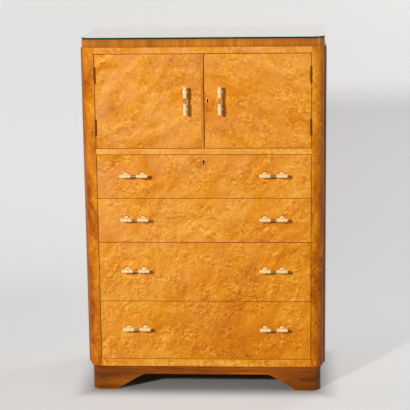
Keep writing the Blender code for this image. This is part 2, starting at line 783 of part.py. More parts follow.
def cut_keyhole(mesh, centre_x, centre_z, depth):
    """Cut the escutcheon's pocket and the keyhole into a front, down to a depth behind its face."""
    start = FRONT_Y - CUT_OVERRUN
    mesh = cut(mesh, prism(oval_outline(centre_x, centre_z), "Y", start, FRONT_Y + ESCUTCHEON_POCKET))
    return cut(mesh, prism(keyhole_outline(centre_x, centre_z), "Y", start, FRONT_Y + depth))


def bolt_depth_range(back_y):
    """Where a lock bolt lies between the front and the back of its case."""
    middle = back_y - (LOCK_CASE_DEPTH - LOCK_PLATE) / 2
    return middle - LOCK_BOLT_THICKNESS / 2, middle + LOCK_BOLT_THICKNESS / 2


def door_bolt_box(growth, start_x, end_x):
    """The door lock's bolt, or its channel, between two X places."""
    near_y, far_y = bolt_depth_range(DOOR_BACK_Y)
    middle_z = DOOR_KEYHOLE_Z + LOCK_BOLT_OFFSET
    half = LOCK_BOLT_WIDTH / 2 + growth
    return box((start_x, near_y - growth, middle_z - half), (end_x, far_y + growth, middle_z + half))


def drawer_bolt_box(growth, start_z, end_z):
    """The drawer lock's bolt, or its channel, between two heights."""
    near_y, far_y = bolt_depth_range(FRONT_BACK_Y)
    half = LOCK_BOLT_WIDTH / 2 + growth
    return box((-half, near_y - growth, start_z), (half, far_y + growth, end_z))


def drawer_bolt_mortise():
    """The hole in the underside of the middle rail that takes the drawer lock's bolt."""
    top = DRAWER_1_TOP_Z - FIT_GAP + LOCK_BOLT_THROW + BOLT_CLEARANCE
    return drawer_bolt_box(BOLT_CLEARANCE, MIDDLE_RAIL_LINE - CUT_OVERRUN, top)


def make_door_lock(door, bolt_pivot):
    """The lock let into the back of the right-hand door, at its meeting edge."""
    low = (DOOR_EDGE_X, DOOR_BACK_Y - LOCK_CASE_DEPTH, DOOR_KEYHOLE_Z - LOCK_CASE_LENGTH / 2)
    high = (DOOR_EDGE_X + DOOR_LOCK_WIDTH, DOOR_BACK_Y, DOOR_KEYHOLE_Z + LOCK_CASE_LENGTH / 2)
    bolt_start = DOOR_EDGE_X + FIT_GAP
    bolt_end = bolt_start + LOCK_BOLT_LENGTH
    case = cut(box(low, high), door_bolt_box(FIT_GAP, DOOR_EDGE_X - CUT_OVERRUN, bolt_end + FIT_GAP))
    plate_end = low[1] + LOCK_PLATE - FIT_GAP
    hole = prism(keyhole_outline(DOOR_KEYHOLE_X, DOOR_KEYHOLE_Z), "Y", low[1] - CUT_OVERRUN, plate_end)
    part("door_lock_case", cut(case, hole), BRASS, door)
    part("door_lock_bolt", door_bolt_box(0, bolt_start, bolt_end), BRASS, bolt_pivot)


def door_lock_pocket():
    """The room for the lock case in the door."""
    half = LOCK_CASE_LENGTH / 2 + FIT_GAP
    return box(
        (DOOR_EDGE_X - CUT_OVERRUN, DOOR_BACK_Y - LOCK_CASE_DEPTH - FIT_GAP, DOOR_KEYHOLE_Z - half),
        (DOOR_EDGE_X + DOOR_LOCK_WIDTH + FIT_GAP, DOOR_BACK_Y + CUT_OVERRUN, DOOR_KEYHOLE_Z + half),
    )


def make_drawer_lock(drawer, bolt_pivot):
    """The lock let into the back of the top drawer's front, at its top edge."""
    half = LOCK_CASE_LENGTH / 2
    low = (-half, FRONT_BACK_Y - LOCK_CASE_DEPTH, DRAWER_1_TOP_Z - DRAWER_LOCK_HEIGHT)
    high = (half, FRONT_BACK_Y, DRAWER_1_TOP_Z)
    bolt_top = DRAWER_1_TOP_Z - FIT_GAP
    bolt_bottom = bolt_top - LOCK_BOLT_LENGTH
    case = cut(box(low, high), drawer_bolt_box(FIT_GAP, bolt_bottom - FIT_GAP, DRAWER_1_TOP_Z + CUT_OVERRUN))
    plate_end = low[1] + LOCK_PLATE - FIT_GAP
    hole = prism(keyhole_outline(0, DRAWER_KEYHOLE_Z), "Y", low[1] - CUT_OVERRUN, plate_end)
    part("drawer_lock_case", cut(case, hole), BRASS, drawer)
    part("drawer_lock_bolt", drawer_bolt_box(0, bolt_bottom, bolt_top), BRASS, bolt_pivot)


def drawer_lock_pocket():
    """The room for the lock case in the top drawer's front."""
    half = LOCK_CASE_LENGTH / 2 + FIT_GAP
    return box(
        (-half, FRONT_BACK_Y - LOCK_CASE_DEPTH - FIT_GAP, DRAWER_1_TOP_Z - DRAWER_LOCK_HEIGHT - FIT_GAP),
        (half, FRONT_BACK_Y + CUT_OVERRUN, DRAWER_1_TOP_Z + CUT_OVERRUN),
    )


# Hinges

def barrel_ranges(centre_z):
    """The height range of each barrel of a hinge, with the running clearance between them."""
    pitch = HINGE_LENGTH / BARREL_COUNT
    ranges = []
    for number in range(BARREL_COUNT):
        low = centre_z - HINGE_HALF + pitch * number
        ranges.append((low + BARREL_CLEARANCE / 2, low + pitch - BARREL_CLEARANCE / 2))
    return ranges


def hinge_leaf(centre_z, leaf_low_x, own):
    """A leaf of a right-hand hinge: its plate and its barrels, each on a web."""
    plate_start = HINGE_Y + BARREL_RADIUS + BARREL_CLEARANCE
    leaf_high_x = leaf_low_x + LEAF_THICKNESS
    leaf = box(
        (leaf_low_x, plate_start, centre_z - HINGE_HALF),
        (leaf_high_x, FRONT_Y + LEAF_WIDTH, centre_z + HINGE_HALF),
    )
    barrels = []
    webs = []
    for low, high in own:
        barrels.append(rod(BARREL_RADIUS, "Z", (HINGE_X, HINGE_Y, 0), low, high, ROUND_SIDES))
        webs.append(box((leaf_low_x, HINGE_Y, low), (leaf_high_x, plate_start + LEAF_THICKNESS, high)))
    leaf = fused(leaf, gathered(webs))
    return fused(leaf, gathered(barrels))


def hinge_pin(centre_z):
    """The pin of a right-hand hinge, fixed in the post leaf's barrels, with a domed tip at each end."""
    tip = HINGE_HALF + PIN_HEAD_HEIGHT
    profile = [(0, -tip), (PIN_RADIUS, -HINGE_HALF), (PIN_RADIUS, HINGE_HALF), (0, tip)]
    return turned(profile, "Z", (HINGE_X, HINGE_Y, centre_z), ROUND_SIDES)


def hinge_bore(centre_z):
    """The running hole for the pin in the barrels of a door leaf."""
    end = HINGE_HALF + CUT_OVERRUN
    return rod(PIN_RADIUS + PIN_CLEARANCE, "Z", (HINGE_X, HINGE_Y, centre_z), -end, end, ROUND_SIDES)


def make_hinges(door_left, door_right):
    """Four butt hinges: a leaf with the pin on the post, and a leaf that turns with the door."""
    post_low_x = OPENING_HALF + LEAF_INLET - FIT_GAP - LEAF_THICKNESS
    door_low_x = FRONT_HALF - LEAF_INLET + FIT_GAP
    for level, centre in zip(("upper", "lower"), HINGE_CENTRES):
        ranges = barrel_ranges(centre)
        post_leaf = fused(hinge_leaf(centre, post_low_x, ranges[0::2]), hinge_pin(centre))
        door_leaf = cut(hinge_leaf(centre, door_low_x, ranges[1::2]), hinge_bore(centre))
        axis_left = (-HINGE_X, HINGE_Y, centre)
        axis_right = (HINGE_X, HINGE_Y, centre)
        part("hinge_left_" + level + "_post_leaf", mirrored(copied(post_leaf)), BRONZE, None, axis_left)
        part("hinge_left_" + level + "_door_leaf", mirrored(copied(door_leaf)), BRONZE, door_left, axis_left)
        part("hinge_right_" + level + "_post_leaf", post_leaf, BRONZE, None, axis_right)
        part("hinge_right_" + level + "_door_leaf", door_leaf, BRONZE, door_right, axis_right)


# Doors

def hinge_inlets():
    """The inlets in the hinge edge of the right-hand door."""
    inlets = []
    clear = BARREL_RADIUS + BARREL_CLEARANCE
    for centre in HINGE_CENTRES:
        low_z = centre - HINGE_HALF - FIT_GAP
        high_z = centre + HINGE_HALF + FIT_GAP
        outline = [
            (HINGE_X - clear, FRONT_Y - CUT_OVERRUN),
            (OPENING_HALF, FRONT_Y - CUT_OVERRUN),
            (OPENING_HALF, FRONT_Y + LEAF_WIDTH + FIT_GAP),
            (FRONT_HALF - LEAF_INLET, FRONT_Y + LEAF_WIDTH + FIT_GAP),
            (FRONT_HALF - LEAF_INLET, HINGE_Y + clear),
            (HINGE_X - clear, HINGE_Y + clear),
        ]
        inlets.append(prism(outline, "Z", low_z, high_z))
    return gathered(inlets)


def make_bead(door):
    """The rounded bead glued along the meeting edge of the left-hand door."""
    near = BEAD_EDGE_X - BEAD_WIDTH
    half = BEAD_WIDTH / 2
    radius = (half * half + BEAD_PROUD * BEAD_PROUD) / (2 * BEAD_PROUD)
    spread = math.degrees(math.asin(half / radius))
    centre = (BEAD_EDGE_X - half, FRONT_Y - BEAD_PROUD + radius)
    outline = arc(centre, radius, 270 - spread, 270 + spread, CORNER_STEPS)
    outline += [(BEAD_EDGE_X, DOOR_BACK_Y), (near, DOOR_BACK_Y)]
    bead = prism(outline, "Z", DOOR_BOTTOM_Z, DOOR_TOP_Z)
    tip_x = DOOR_EDGE_X + FIT_GAP - LOCK_BOLT_THROW
    mortise = door_bolt_box(BOLT_CLEARANCE, tip_x - BOLT_CLEARANCE, BEAD_EDGE_X + CUT_OVERRUN)
    part("door_left_bead", cut(bead, mortise), MAPLE, door)


def make_door_bolt(door, rod_pivot):
    """The bolt inside the left-hand door: a case on its back and a rod with a small knob."""
    half = BOLT_CASE_WIDTH / 2
    case_front = DOOR_BACK_Y + FIT_GAP
    case_back = case_front + BOLT_CASE_DEPTH
    case_top = DOOR_TOP_Z - BOLT_CASE_TOP_DISTANCE
    case = box((ROD_X - half, case_front, case_top - BOLT_CASE_LENGTH), (ROD_X + half, case_back, case_top))
    rod_bottom = ROD_TOP_Z - ROD_LENGTH
    bore = rod(
        ROD_RADIUS + ROD_CLEARANCE,
        "Z",
        (ROD_X, ROD_Y, 0),
        rod_bottom - FIT_GAP,
        DOOR_TOP_Z + CUT_OVERRUN,
        ROUND_SIDES,
    )
    knob_z = ROD_TOP_Z - KNOB_DROP
    slot_half = KNOB_RADIUS + BOLT_CLEARANCE
    slot = box(
        (ROD_X - slot_half, ROD_Y, knob_z - slot_half),
        (ROD_X + slot_half, case_back + CUT_OVERRUN, knob_z + ROD_THROW + slot_half),
    )
    part("door_bolt_case", cut(cut(case, bore), slot), BRASS, door)
    sliding = rod(ROD_RADIUS, "Z", (ROD_X, ROD_Y, 0), rod_bottom, ROD_TOP_Z, ROUND_SIDES)
    knob = rod(KNOB_RADIUS, "Y", (ROD_X, ROD_Y, knob_z), 0, KNOB_REACH, SMALL_ROUND_SIDES)
    part("door_bolt_rod", fused(sliding, knob), BRASS, rod_pivot)


def make_doors():
    """Both doors with all that they carry."""
    door_left = pivot("door_left_axis", (-HINGE_X, HINGE_Y, DOOR_MIDDLE_Z))
    door_right = pivot("door_right_axis", (HINGE_X, HINGE_Y, DOOR_MIDDLE_Z))
    rod_pivot = pivot("door_bolt_axis", (ROD_X, ROD_Y, ROD_TOP_Z), door_left)
    lock_place = (DOOR_EDGE_X, DOOR_BACK_Y, DOOR_KEYHOLE_Z + LOCK_BOLT_OFFSET)
    lock_pivot = pivot("door_lock_axis", lock_place, door_right)
    handle_z = DOOR_MIDDLE_Z + DOOR_HANDLE_RISE

    panel = box((DOOR_EDGE_X, FRONT_Y, DOOR_BOTTOM_Z), (FRONT_HALF, DOOR_BACK_Y, DOOR_TOP_Z))
    panel = cut(panel, hinge_inlets())
    panel = cut(panel, screw_holes([(DOOR_HANDLE_OFFSET, handle_z)], True, DOOR_THICKNESS))
    left = mirrored(copied(panel))
    part("door_left_panel", left, MAPLE, door_left, world_place(door_left))
    right = cut(panel, door_lock_pocket())
    right = cut_keyhole(right, DOOR_KEYHOLE_X, DOOR_KEYHOLE_Z, DOOR_THICKNESS - LOCK_CASE_DEPTH)
    part("door_right_panel", right, MAPLE, door_right, world_place(door_right))

    make_handle("door_left_handle", (-DOOR_HANDLE_OFFSET, handle_z), True, DOOR_THICKNESS, door_left)
    make_handle("door_right_handle", (DOOR_HANDLE_OFFSET, handle_z), True, DOOR_THICKNESS, door_right)
    make_bead(door_left)
    make_door_bolt(door_left, rod_pivot)
    make_door_lock(door_right, lock_pivot)
    make_hinges(door_left, door_right)


# Drawers

def tail_outlines(low, high, count, growth, root_y, tip_y):
    """The dovetails at the front end of a drawer side, one (y, z) outline each, from the top down."""
    pitch = (high - low) / count
    outlines = []
    for number in range(count):
        middle = high - pitch * (number + 1 / 2)
        tip = pitch * DOVETAIL_TIP_SHARE / 2 + growth
        root = pitch * DOVETAIL_ROOT_SHARE / 2 + growth
        upper = [(root_y, middle + root), (tip_y, middle + tip)]
        lower = [(tip_y, middle - tip), (root_y, middle - root)]
        outlines.append(upper + lower)
    return outlines


def drawer_side(low, high, tails):
    """A right-hand drawer side with its tails and the groove for the bottom."""
    shoulder = FRONT_BACK_Y + FIT_GAP
    tip_y = FRONT_BACK_Y - DOVETAIL_LAP
    outline = [(DRAWER_REAR_Y, low), (DRAWER_REAR_Y, high), (shoulder, high)]
    for tail in tail_outlines(low, high, tails, 0, shoulder, tip_y):
        outline += tail
    outline += [(shoulder, low)]
    side = prism(outline, "X", SIDE_GRAIN_HALF, FRONT_HALF)
    start_x = SIDE_GRAIN_HALF - CUT_OVERRUN
    return cut(side, groove(low, tip_y - CUT_OVERRUN, DRAWER_REAR_Y + CUT_OVERRUN, start_x))


def groove(low, start_y, end_y, start_x):
    """The room that the drawer bottom takes in a side or in the front."""
    bottom = low + GROOVE_RISE
    return box(
        (start_x, start_y, bottom - FIT_GAP),
        (SIDE_GRAIN_HALF + GROOVE_DEPTH, end_y, bottom + DRAWER_BOTTOM_THICKNESS + FIT_GAP),
    )


def drawer_sockets(low, high, tails):
    """The sockets in the right-hand end of a drawer front that take the tails."""
    root_y = FRONT_BACK_Y + CUT_OVERRUN
    tip_y = FRONT_BACK_Y - DOVETAIL_LAP - FIT_GAP
    sockets = []
    for outline in tail_outlines(low, high, tails, FIT_GAP, root_y, tip_y):
        sockets.append(prism(outline, "X", SIDE_GRAIN_HALF - FIT_GAP, FRONT_HALF + CUT_OVERRUN))
    return sockets


def make_drawer(number):
    """One drawer: front, dovetailed box, bottom and handles, with a lock in the top one."""
    low_line, high_line = DRAWER_LINES[number]
    name = "drawer_" + str(number)
    slider = pivot(name + "_axis", (0, FRONT_Y, (low_line + high_line) / 2))
    front_low = low_line + FRONT_GAP / 2
    front_high = high_line - FRONT_GAP / 2
    low = low_line + DRAWER_BOARD_THICKNESS / 2 + FIT_GAP
    high = high_line - DRAWER_BOARD_THICKNESS / 2 - BOX_HEADROOM
    tails = DRAWER_TAILS[number]
    handle_z = high_line - (high_line - low_line) * DRAWER_HANDLE_DROP_SHARE
    handle_x = OPENING_HALF - DRAWER_HANDLE_INSET
    centres = [(-handle_x, handle_z), (handle_x, handle_z)]

    front = box((-FRONT_HALF, FRONT_Y, front_low), (FRONT_HALF, FRONT_BACK_Y, front_high))
    sockets = drawer_sockets(low, high, tails)
    sockets += [mirrored(copied(socket)) for socket in sockets]
    front = cut(front, gathered(sockets))
    groove_x = SIDE_GRAIN_HALF + GROOVE_DEPTH
    front = cut(front, groove(low, FRONT_BACK_Y - GROOVE_DEPTH, FRONT_BACK_Y + CUT_OVERRUN, -groove_x))
    front = cut(front, screw_holes(centres, False, DRAWER_FRONT_THICKNESS))
    if number == 1:
        front = cut(front, drawer_lock_pocket())
        front = cut_keyhole(front, 0, DRAWER_KEYHOLE_Z, DRAWER_FRONT_THICKNESS - LOCK_CASE_DEPTH)
        bolt_pivot = pivot("drawer_lock_axis", (0, FRONT_BACK_Y, DRAWER_1_TOP_Z), slider)
        make_drawer_lock(slider, bolt_pivot)
    part(name + "_front", front, MAPLE, slider)

    right = drawer_side(low, high, tails)
    left = mirrored(copied(right))
    back_half = SIDE_GRAIN_HALF + DRAWER_SIDE_THICKNESS / 2
    back_low = low + GROOVE_RISE + DRAWER_BOTTOM_THICKNESS + FIT_GAP
    back = box(
        (-back_half, DRAWER_REAR_Y - DRAWER_BACK_THICKNESS, back_low),
        (back_half, DRAWER_REAR_Y, high - DRAWER_BACK_DROP),
    )
    part(name + "_box", fused(fused(back, left), right), BEECH, slider)

    bottom_half = SIDE_GRAIN_HALF + GROOVE_DEPTH - FIT_GAP
    bottom_z = low + GROOVE_RISE
    bottom = box(
        (-bottom_half, FRONT_BACK_Y - GROOVE_DEPTH + FIT_GAP, bottom_z),
        (bottom_half, DRAWER_REAR_Y, bottom_z + DRAWER_BOTTOM_THICKNESS),
    )
    part(name + "_bottom", bottom, BIRCH_PLY, slider)
    for side, centre in zip(("left", "right"), centres):
        make_handle(name + "_handle_" + side, centre, False, DRAWER_FRONT_THICKNESS, slider)


def main():
    """Build the whole tallboy."""
    clear_scene()
    make_top()
    make_posts()
    make_sides()
    make_front_rails()
    make_boards()
    make_drawer_boards()
    make_plinth()
    make_doors()
    for number in DRAWER_LINES:
        make_drawer(number)


main()
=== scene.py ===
"""The looks of a tallboy: bird's-eye maple veneer, walnut plinth, plate-glass top and cream bar handles.

It is laid out as a Blender add-on and is run as a script.
Everything is in metres, +Z up, with the front at -Y.
"""
import math

import bmesh
import bpy
from bpy.props import FloatProperty, FloatVectorProperty, IntProperty, PointerProperty
from mathutils import Matrix, Quaternion, Vector


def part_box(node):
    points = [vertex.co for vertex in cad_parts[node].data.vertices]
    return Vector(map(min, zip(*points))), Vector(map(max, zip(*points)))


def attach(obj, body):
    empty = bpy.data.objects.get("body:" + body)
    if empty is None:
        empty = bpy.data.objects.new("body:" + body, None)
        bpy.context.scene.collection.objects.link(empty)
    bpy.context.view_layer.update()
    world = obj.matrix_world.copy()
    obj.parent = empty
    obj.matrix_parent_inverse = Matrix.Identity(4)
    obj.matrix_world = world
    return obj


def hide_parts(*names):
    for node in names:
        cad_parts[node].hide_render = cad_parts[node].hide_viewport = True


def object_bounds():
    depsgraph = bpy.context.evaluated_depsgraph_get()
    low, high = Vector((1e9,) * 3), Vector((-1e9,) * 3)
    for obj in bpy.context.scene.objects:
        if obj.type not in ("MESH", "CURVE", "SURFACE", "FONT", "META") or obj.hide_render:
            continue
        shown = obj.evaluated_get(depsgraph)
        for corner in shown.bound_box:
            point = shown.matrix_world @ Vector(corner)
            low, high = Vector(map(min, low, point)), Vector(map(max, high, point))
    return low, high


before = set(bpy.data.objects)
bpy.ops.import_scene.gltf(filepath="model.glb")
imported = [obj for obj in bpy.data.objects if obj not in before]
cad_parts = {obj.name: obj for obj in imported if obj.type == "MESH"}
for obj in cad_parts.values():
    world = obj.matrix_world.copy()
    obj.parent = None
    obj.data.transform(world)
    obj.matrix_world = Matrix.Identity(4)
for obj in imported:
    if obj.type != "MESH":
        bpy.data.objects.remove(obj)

bl_info = {
    "name": "Tallboy",
    "version": (1, 0, 0),
    "blender": (4, 5, 0),
    "location": "3D View > Sidebar > Tallboy",
    "description": "Dresses the solids of a maple tallboy with detailed pieces and finishes",
    "category": "Object",
}

# Places read from the frame
FRAME_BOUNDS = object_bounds()
FRONT_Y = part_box("drawer_1_front")[0].y
OPENING_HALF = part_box("corner_post_right")[0].x
POST_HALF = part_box("corner_post_right")[1].x

# Clearances, and how far a cutter overruns what it cuts
FIT_GAP = 0.0003
THIN_GAP = FIT_GAP / 3
OVERRUN = 0.002
SAME_PLACE = 0.00005
MERGE_REACH = 0.00001
MERGE_ANGLE = math.radians(0.5)

# Names and counts of what repeats
SIDES = {"left": -1, "right": 1}
DRAWERS = (1, 2, 3, 4)
UPPER_DRAWERS = (1, 2)
# The drawer whose top, like the underside of the drawer above it, keeps the dark painted shade of a gap
SHADED_TOP_DRAWER = 3
DRAWER_BOARDS = ("drawer_board_1", "drawer_board_2", "drawer_board_3")
INSIDE_BOARDS = ("cupboard_floor", "shelf", *DRAWER_BOARDS, "carcase_bottom")
HINGE_SCREWS = 3
SCREW_ROWS = 8
SCREW_COLUMNS = 5
QUARTER_TURN = math.pi / 2

# Facets of round shapes
ROUND_SIDES = 32
OVAL_SIDES = 48
KEYHOLE_SIDES = 24
SCREW_SIDES = 20
HANDLE_SCREW_SIDES = 24
ARCH_STEPS = 12
FLARE_STEPS = 8
TUBE_END_STEPS = 4
ROD_END_STEPS = 3
FINE_STEPS = 2
EDGE_STEPS = 3
SOFT_STEPS = 4
COVE_STEPS = 16

# Angles in degrees up to which a piece is shaded smooth
BROAD_ANGLE = 25
PLAIN_ANGLE = 30
SMALL_ANGLE = 35
TUBE_ANGLE = 40

# How much of a face's normal lies along the axis that it faces
FACING = 0.9
BACK_FACING = 0.5
LEVEL_FACING = 0.999
NEARLY_LEVEL = 0.99
UPRIGHT_FACING = 0.01

# Small screws: slot, head, inset and turn from one to the next
SCREW_SLOT = 0.0008
HANDLE_SCREW_SLOT = 0.0009
BACK_SCREW_RADIUS = 0.0032
BACK_SCREW_RISE = 0.0009
BACK_SCREW_INSET = 0.007
CASE_SCREW_RADIUS = 0.0018
CASE_SCREW_RISE = 0.0005
CASE_SCREW_INSET = 0.0042
BACK_SCREW_SPIN = 2.4
CASE_SCREW_SPIN = 2.1
CASE_SCREW_START = 0.4
HINGE_SCREW_SPIN = 1.9
HANDLE_SCREW_SPIN = 1.3

# How far the solid edge of a side board reaches back from its front
SIDE_EDGE_DEPTH = 0.009

# Profiles of round pieces, as shares of their radius and of their thickness or rise
ROSETTE_PROFILE = (
    (0.97, 0.0), (1.0, 0.12), (1.0, 0.22), (0.985, 0.34), (0.88, 0.84), (0.865, 0.88),
    (0.85, 0.86), (0.84, 0.90), (0.83, 0.96), (0.80, 0.99), (0.76, 1.0),
)
ROSETTE_CROWN = 0.858
PLATE_PROFILE = ((1.0, 0.0), (0.97, 0.5), (0.88, 0.85), (0.76, 1.0), (0.66, 0.8), (0.6, 0.55))
PLATE_BACK = 0.98
SCREW_DOME = ((1.0, 0.0), (0.97, 0.4), (0.8, 0.8), (0.45, 1.0))
SCREW_SLOT_DEPTH = 0.45

# Shares of a bar handle's sizes
TUBE_ROUNDING = 0.22
TUBE_MOUTH = 0.3
TUBE_BORE_MOUTH = 0.4
TUBE_BORE_DEPTH = 0.8
ROD_SEAT = 0.15
ROD_ROUNDING = 0.1
RING_ROUNDING = 0.08
FOOT_RIM = 0.16

# Stage
STAGE_WIDTH = 40.0
STAGE_DEPTH = 30.0
STAGE_MIDDLE_Y = -13.1
STAGE_HEIGHT = 5.0
STAGE_COVE = 0.8
STAGE_SHADE = 0.07
STAGE_GLOW = 0.45
FAR_GLOW = 0.66
FAR_NEAR_Y = -2.2
FAR_Y = -6.5
STAGE_CLOUD = (1.3, 3.0, 0.5)
STAGE_DARK = (0.36, 0.36, 0.355, 1)
STAGE_LIGHT = (0.40, 0.40, 0.395, 1)
WHITE = (1.0, 1.0, 1.0, 1)
SKY_ON_OBJECT = 0.045
SKY_MIRRORED = 0.34
SKY_SEEN = 0.78

# Lamps: place, target, width, height, power in watts and colour
LAMPS = {
    "key_light": ((-3.8, -7.0, 3.4), (0, FRONT_Y, 0.7), 0.6, 0.6, 590, (1.0, 0.985, 0.96)),
    "side_light": ((4.4, -1.7, 1.8), (0.3, 0, 0.7), 1.6, 2.0, 52, (1.0, 1.0, 1.0)),
    "back_light": ((1.4, 1.75, 2.0), (0, 0.2, 0.7), 1.0, 1.0, 30, (1.0, 1.0, 1.0)),
}

# Photograph's view, in the same frame
CAMERA_PLACE = Vector((0.310, -5.296, 1.770))
CAMERA_TARGET = Vector((0.0037, FRONT_Y, 0.709))
CAMERA_ROLL = math.radians(-0.707)
CAMERA_LENS = 125.5


# Selection and modelling tools

def object_mode():
    """Leave edit mode and deselect everything."""
    if bpy.context.object is not None and bpy.context.object.mode != "OBJECT":
        bpy.ops.object.mode_set(mode="OBJECT")
    bpy.ops.object.select_all(action="DESELECT")


def take(item):
    """Make one object the only selected one, and the active one."""
    object_mode()
    item.select_set(True)
    bpy.context.view_layer.objects.active = item
    return item


def settle(item):
    """Put an object's place, turn and scale into its mesh."""
    take(item)
    bpy.ops.object.transform_apply(location=True, rotation=True, scale=True)
    return item


def named(item, name):
    """Give an object and its mesh a name."""
    item.name = name
    item.data.name = name
    return item


def add_block(name, low, high):
    """A block between two corners, as the start of a piece or a cutter."""
    object_mode()
    low = Vector(low)
    high = Vector(high)
    bpy.ops.mesh.primitive_cube_add(size=1, location=(low + high) / 2, scale=high - low)
    return settle(named(bpy.context.object, name))


def pick(item, kind, test):
    """Enter edit mode with only the vertices, edges or faces selected that pass a test."""
    take(item)
    bpy.ops.object.mode_set(mode="EDIT")
    bpy.ops.mesh.select_mode(type=kind)
    bpy.ops.mesh.select_all(action="DESELECT")
    mesh = bmesh.from_edit_mesh(item.data)
    parts = {"VERT": mesh.verts, "EDGE": mesh.edges, "FACE": mesh.faces}[kind]
    found = [part for part in parts if test(part)]
    for part in found:
        part.select_set(True)
    bmesh.update_edit_mesh(item.data)
    return len(found)


def leave():
    """Return to object mode."""
    bpy.ops.object.mode_set(mode="OBJECT")


def near(value, target):
    """True where a value lies at its target."""
    return abs(value - target) < SAME_PLACE


def lies(edge, **places):
    """True where both ends of an edge lie at the given x, y or z."""
    return all(near(getattr(vert.co, axis), place) for vert in edge.verts for axis, place in places.items())


def shares(edge, axis):
    """True where both ends of an edge have the same x, y or z."""
    first, last = edge.verts
    return near(getattr(first.co, axis), getattr(last.co, axis))


def facing(axis, sign, least=FACING):
    """A test for the faces that point along an axis."""
    return lambda face: sign * getattr(face.normal, axis) > least


def round_edges(item, test, width, segments):
    """Bevel the edges that pass a test."""
    if pick(item, "EDGE", test):
        bpy.ops.mesh.bevel(offset=width, segments=segments, profile=0.5, affect="EDGES", clamp_overlap=False)
    leave()
    return item


def boolean(item, tools, operation="DIFFERENCE"):
    """Cut an item by its tools, or join them to it, and remove them."""
    for tool in tools:
        take(item)
        modifier = item.modifiers.new("shape", "BOOLEAN")
        modifier.operation = operation
        modifier.solver = "EXACT"
        modifier.object = tool
        bpy.ops.object.modifier_apply(modifier=modifier.name)
        bpy.data.objects.remove(tool)
    return item


def merged_copy(node, name):
    """A closed copy of a CAD node's mesh under a new name, to be shaped further."""
    object_mode()
    item = bpy.data.objects.new(name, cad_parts[node].data.copy())
    item.data.name = name
    item.data.materials.clear()
    bpy.context.scene.collection.objects.link(item)
    take(item)
    bpy.ops.object.mode_set(mode="EDIT")
    bpy.ops.mesh.select_all(action="SELECT")
    bpy.ops.mesh.remove_doubles(threshold=MERGE_REACH)
    bpy.ops.mesh.dissolve_limited(angle_limit=MERGE_ANGLE)
    bpy.ops.mesh.customdata_custom_splitnormals_clear()
    leave()
    return item


def turned(name, profile, axis, centre, sides):
    """A solid turned about an axis, from a profile of (radius, distance along the axis) points."""
    object_mode()
    radius, start = profile[0]
    bpy.ops.mesh.primitive_circle_add(vertices=sides, radius=radius, fill_type="NGON", location=(0, 0, 0))
    item = settle(named(bpy.context.object, name))
    bpy.ops.object.mode_set(mode="EDIT")
    bpy.ops.mesh.select_all(action="SELECT")
    bpy.ops.transform.translate(value=(0, 0, start))
    for next_radius, along in profile[1:]:
        bpy.ops.mesh.extrude_region_move(TRANSFORM_OT_translate={"value": (0, 0, along - start)})
        share = next_radius / radius
        if share != 1:
            bpy.ops.transform.resize(value=(share, share, 1), center_override=(0, 0, along))
        radius = next_radius
        start = along
    bpy.ops.mesh.select_all(action="SELECT")
    bpy.ops.mesh.normals_make_consistent(inside=False)
    leave()
    item.rotation_euler = {"X": (0, QUARTER_TURN, 0), "Y": (-QUARTER_TURN, 0, 0), "Z": (0, 0, 0)}[axis]
    item.location = centre
    return settle(item)


def towards_front(profile):
    """A profile of (radius, distance) points turned to run towards the front, at -Y."""
    return [(radius, -along) for radius, along in profile]


def rounded_rod(radius, reach, rounding):
    """The profile of a rod about its middle, whose ends are rounded over."""
    points = []
    for step in range(ROD_END_STEPS + 1):
        angle = QUARTER_TURN * step / ROD_END_STEPS
        points.append((radius - rounding * (1 - math.sin(angle)), rounding * (1 - math.cos(angle)) - reach))
    return points + [(wide, -along) for wide, along in reversed(points)]


def own_copy(item, name):
    """A copy of a finished piece with a mesh of its own."""
    twin = item.copy()
    twin.data = item.data.copy()
    bpy.context.scene.collection.objects.link(twin)
    return named(twin, name)


def moved(item, matrix):
    """Move or turn a piece's mesh, with its object left at the origin."""
    item.data.transform(matrix)
    item.data.update()
    return item


def mirrored(item):
    """Mirror a piece's mesh across the middle plane, with its faces still pointing out."""
    item.data.transform(Matrix.Diagonal((-1, 1, 1, 1)))
    item.data.flip_normals()
    return item


def smooth(item, angle=PLAIN_ANGLE):
    """Shade a piece smooth, up to an angle in degrees, with its large faces kept flat."""
    take(item)
    bpy.ops.object.shade_smooth_by_angle(angle=math.radians(angle))
    modifier = item.modifiers.new("flat_faces", "WEIGHTED_NORMAL")
    modifier.keep_sharp = True
    bpy.ops.object.modifier_apply(modifier=modifier.name)
    return item


def mark(item, name, value_at):
    """Give each vertex of a piece a number that its finish reads."""
    layer = item.data.attributes.new(name, "FLOAT", "POINT")
    for vertex in item.data.vertices:
        layer.data[vertex.index].value = value_at(vertex.co)


def paint(item, main, *others):
    """Give a piece its main finish, and each other one to the faces that pass its test."""
    item.data.materials.append(material(main))
    for number, (name, test) in enumerate(others, 1):
        item.data.materials.append(material(name))
        for face in item.data.polygons:
            if test(face):
                face.material_index = number
    return item


def finish_piece(item, body, slot, *stands_for):
    """Give a piece its body and hide the CAD nodes that it stands for; the slot is not used."""
    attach(item, body)
    if stands_for:
        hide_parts(*stands_for)
    return item


def dress_nodes(name, *nodes):
    """Give CAD nodes that stay a better finish."""
    for node in nodes:
        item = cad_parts[node]
        item.data.materials.clear()
        item.data.materials.append(material(name))


# Sizes and colours that a user would change

def length(label, words, default):
    """A length property."""
    return FloatProperty(name=label, description=words, default=default, subtype="DISTANCE", unit="LENGTH")


def amount(label, words, default, low=0.0, high=1.0):
    """A plain number property between two limits."""
    return FloatProperty(name=label, description=words, default=default, min=low, max=high)


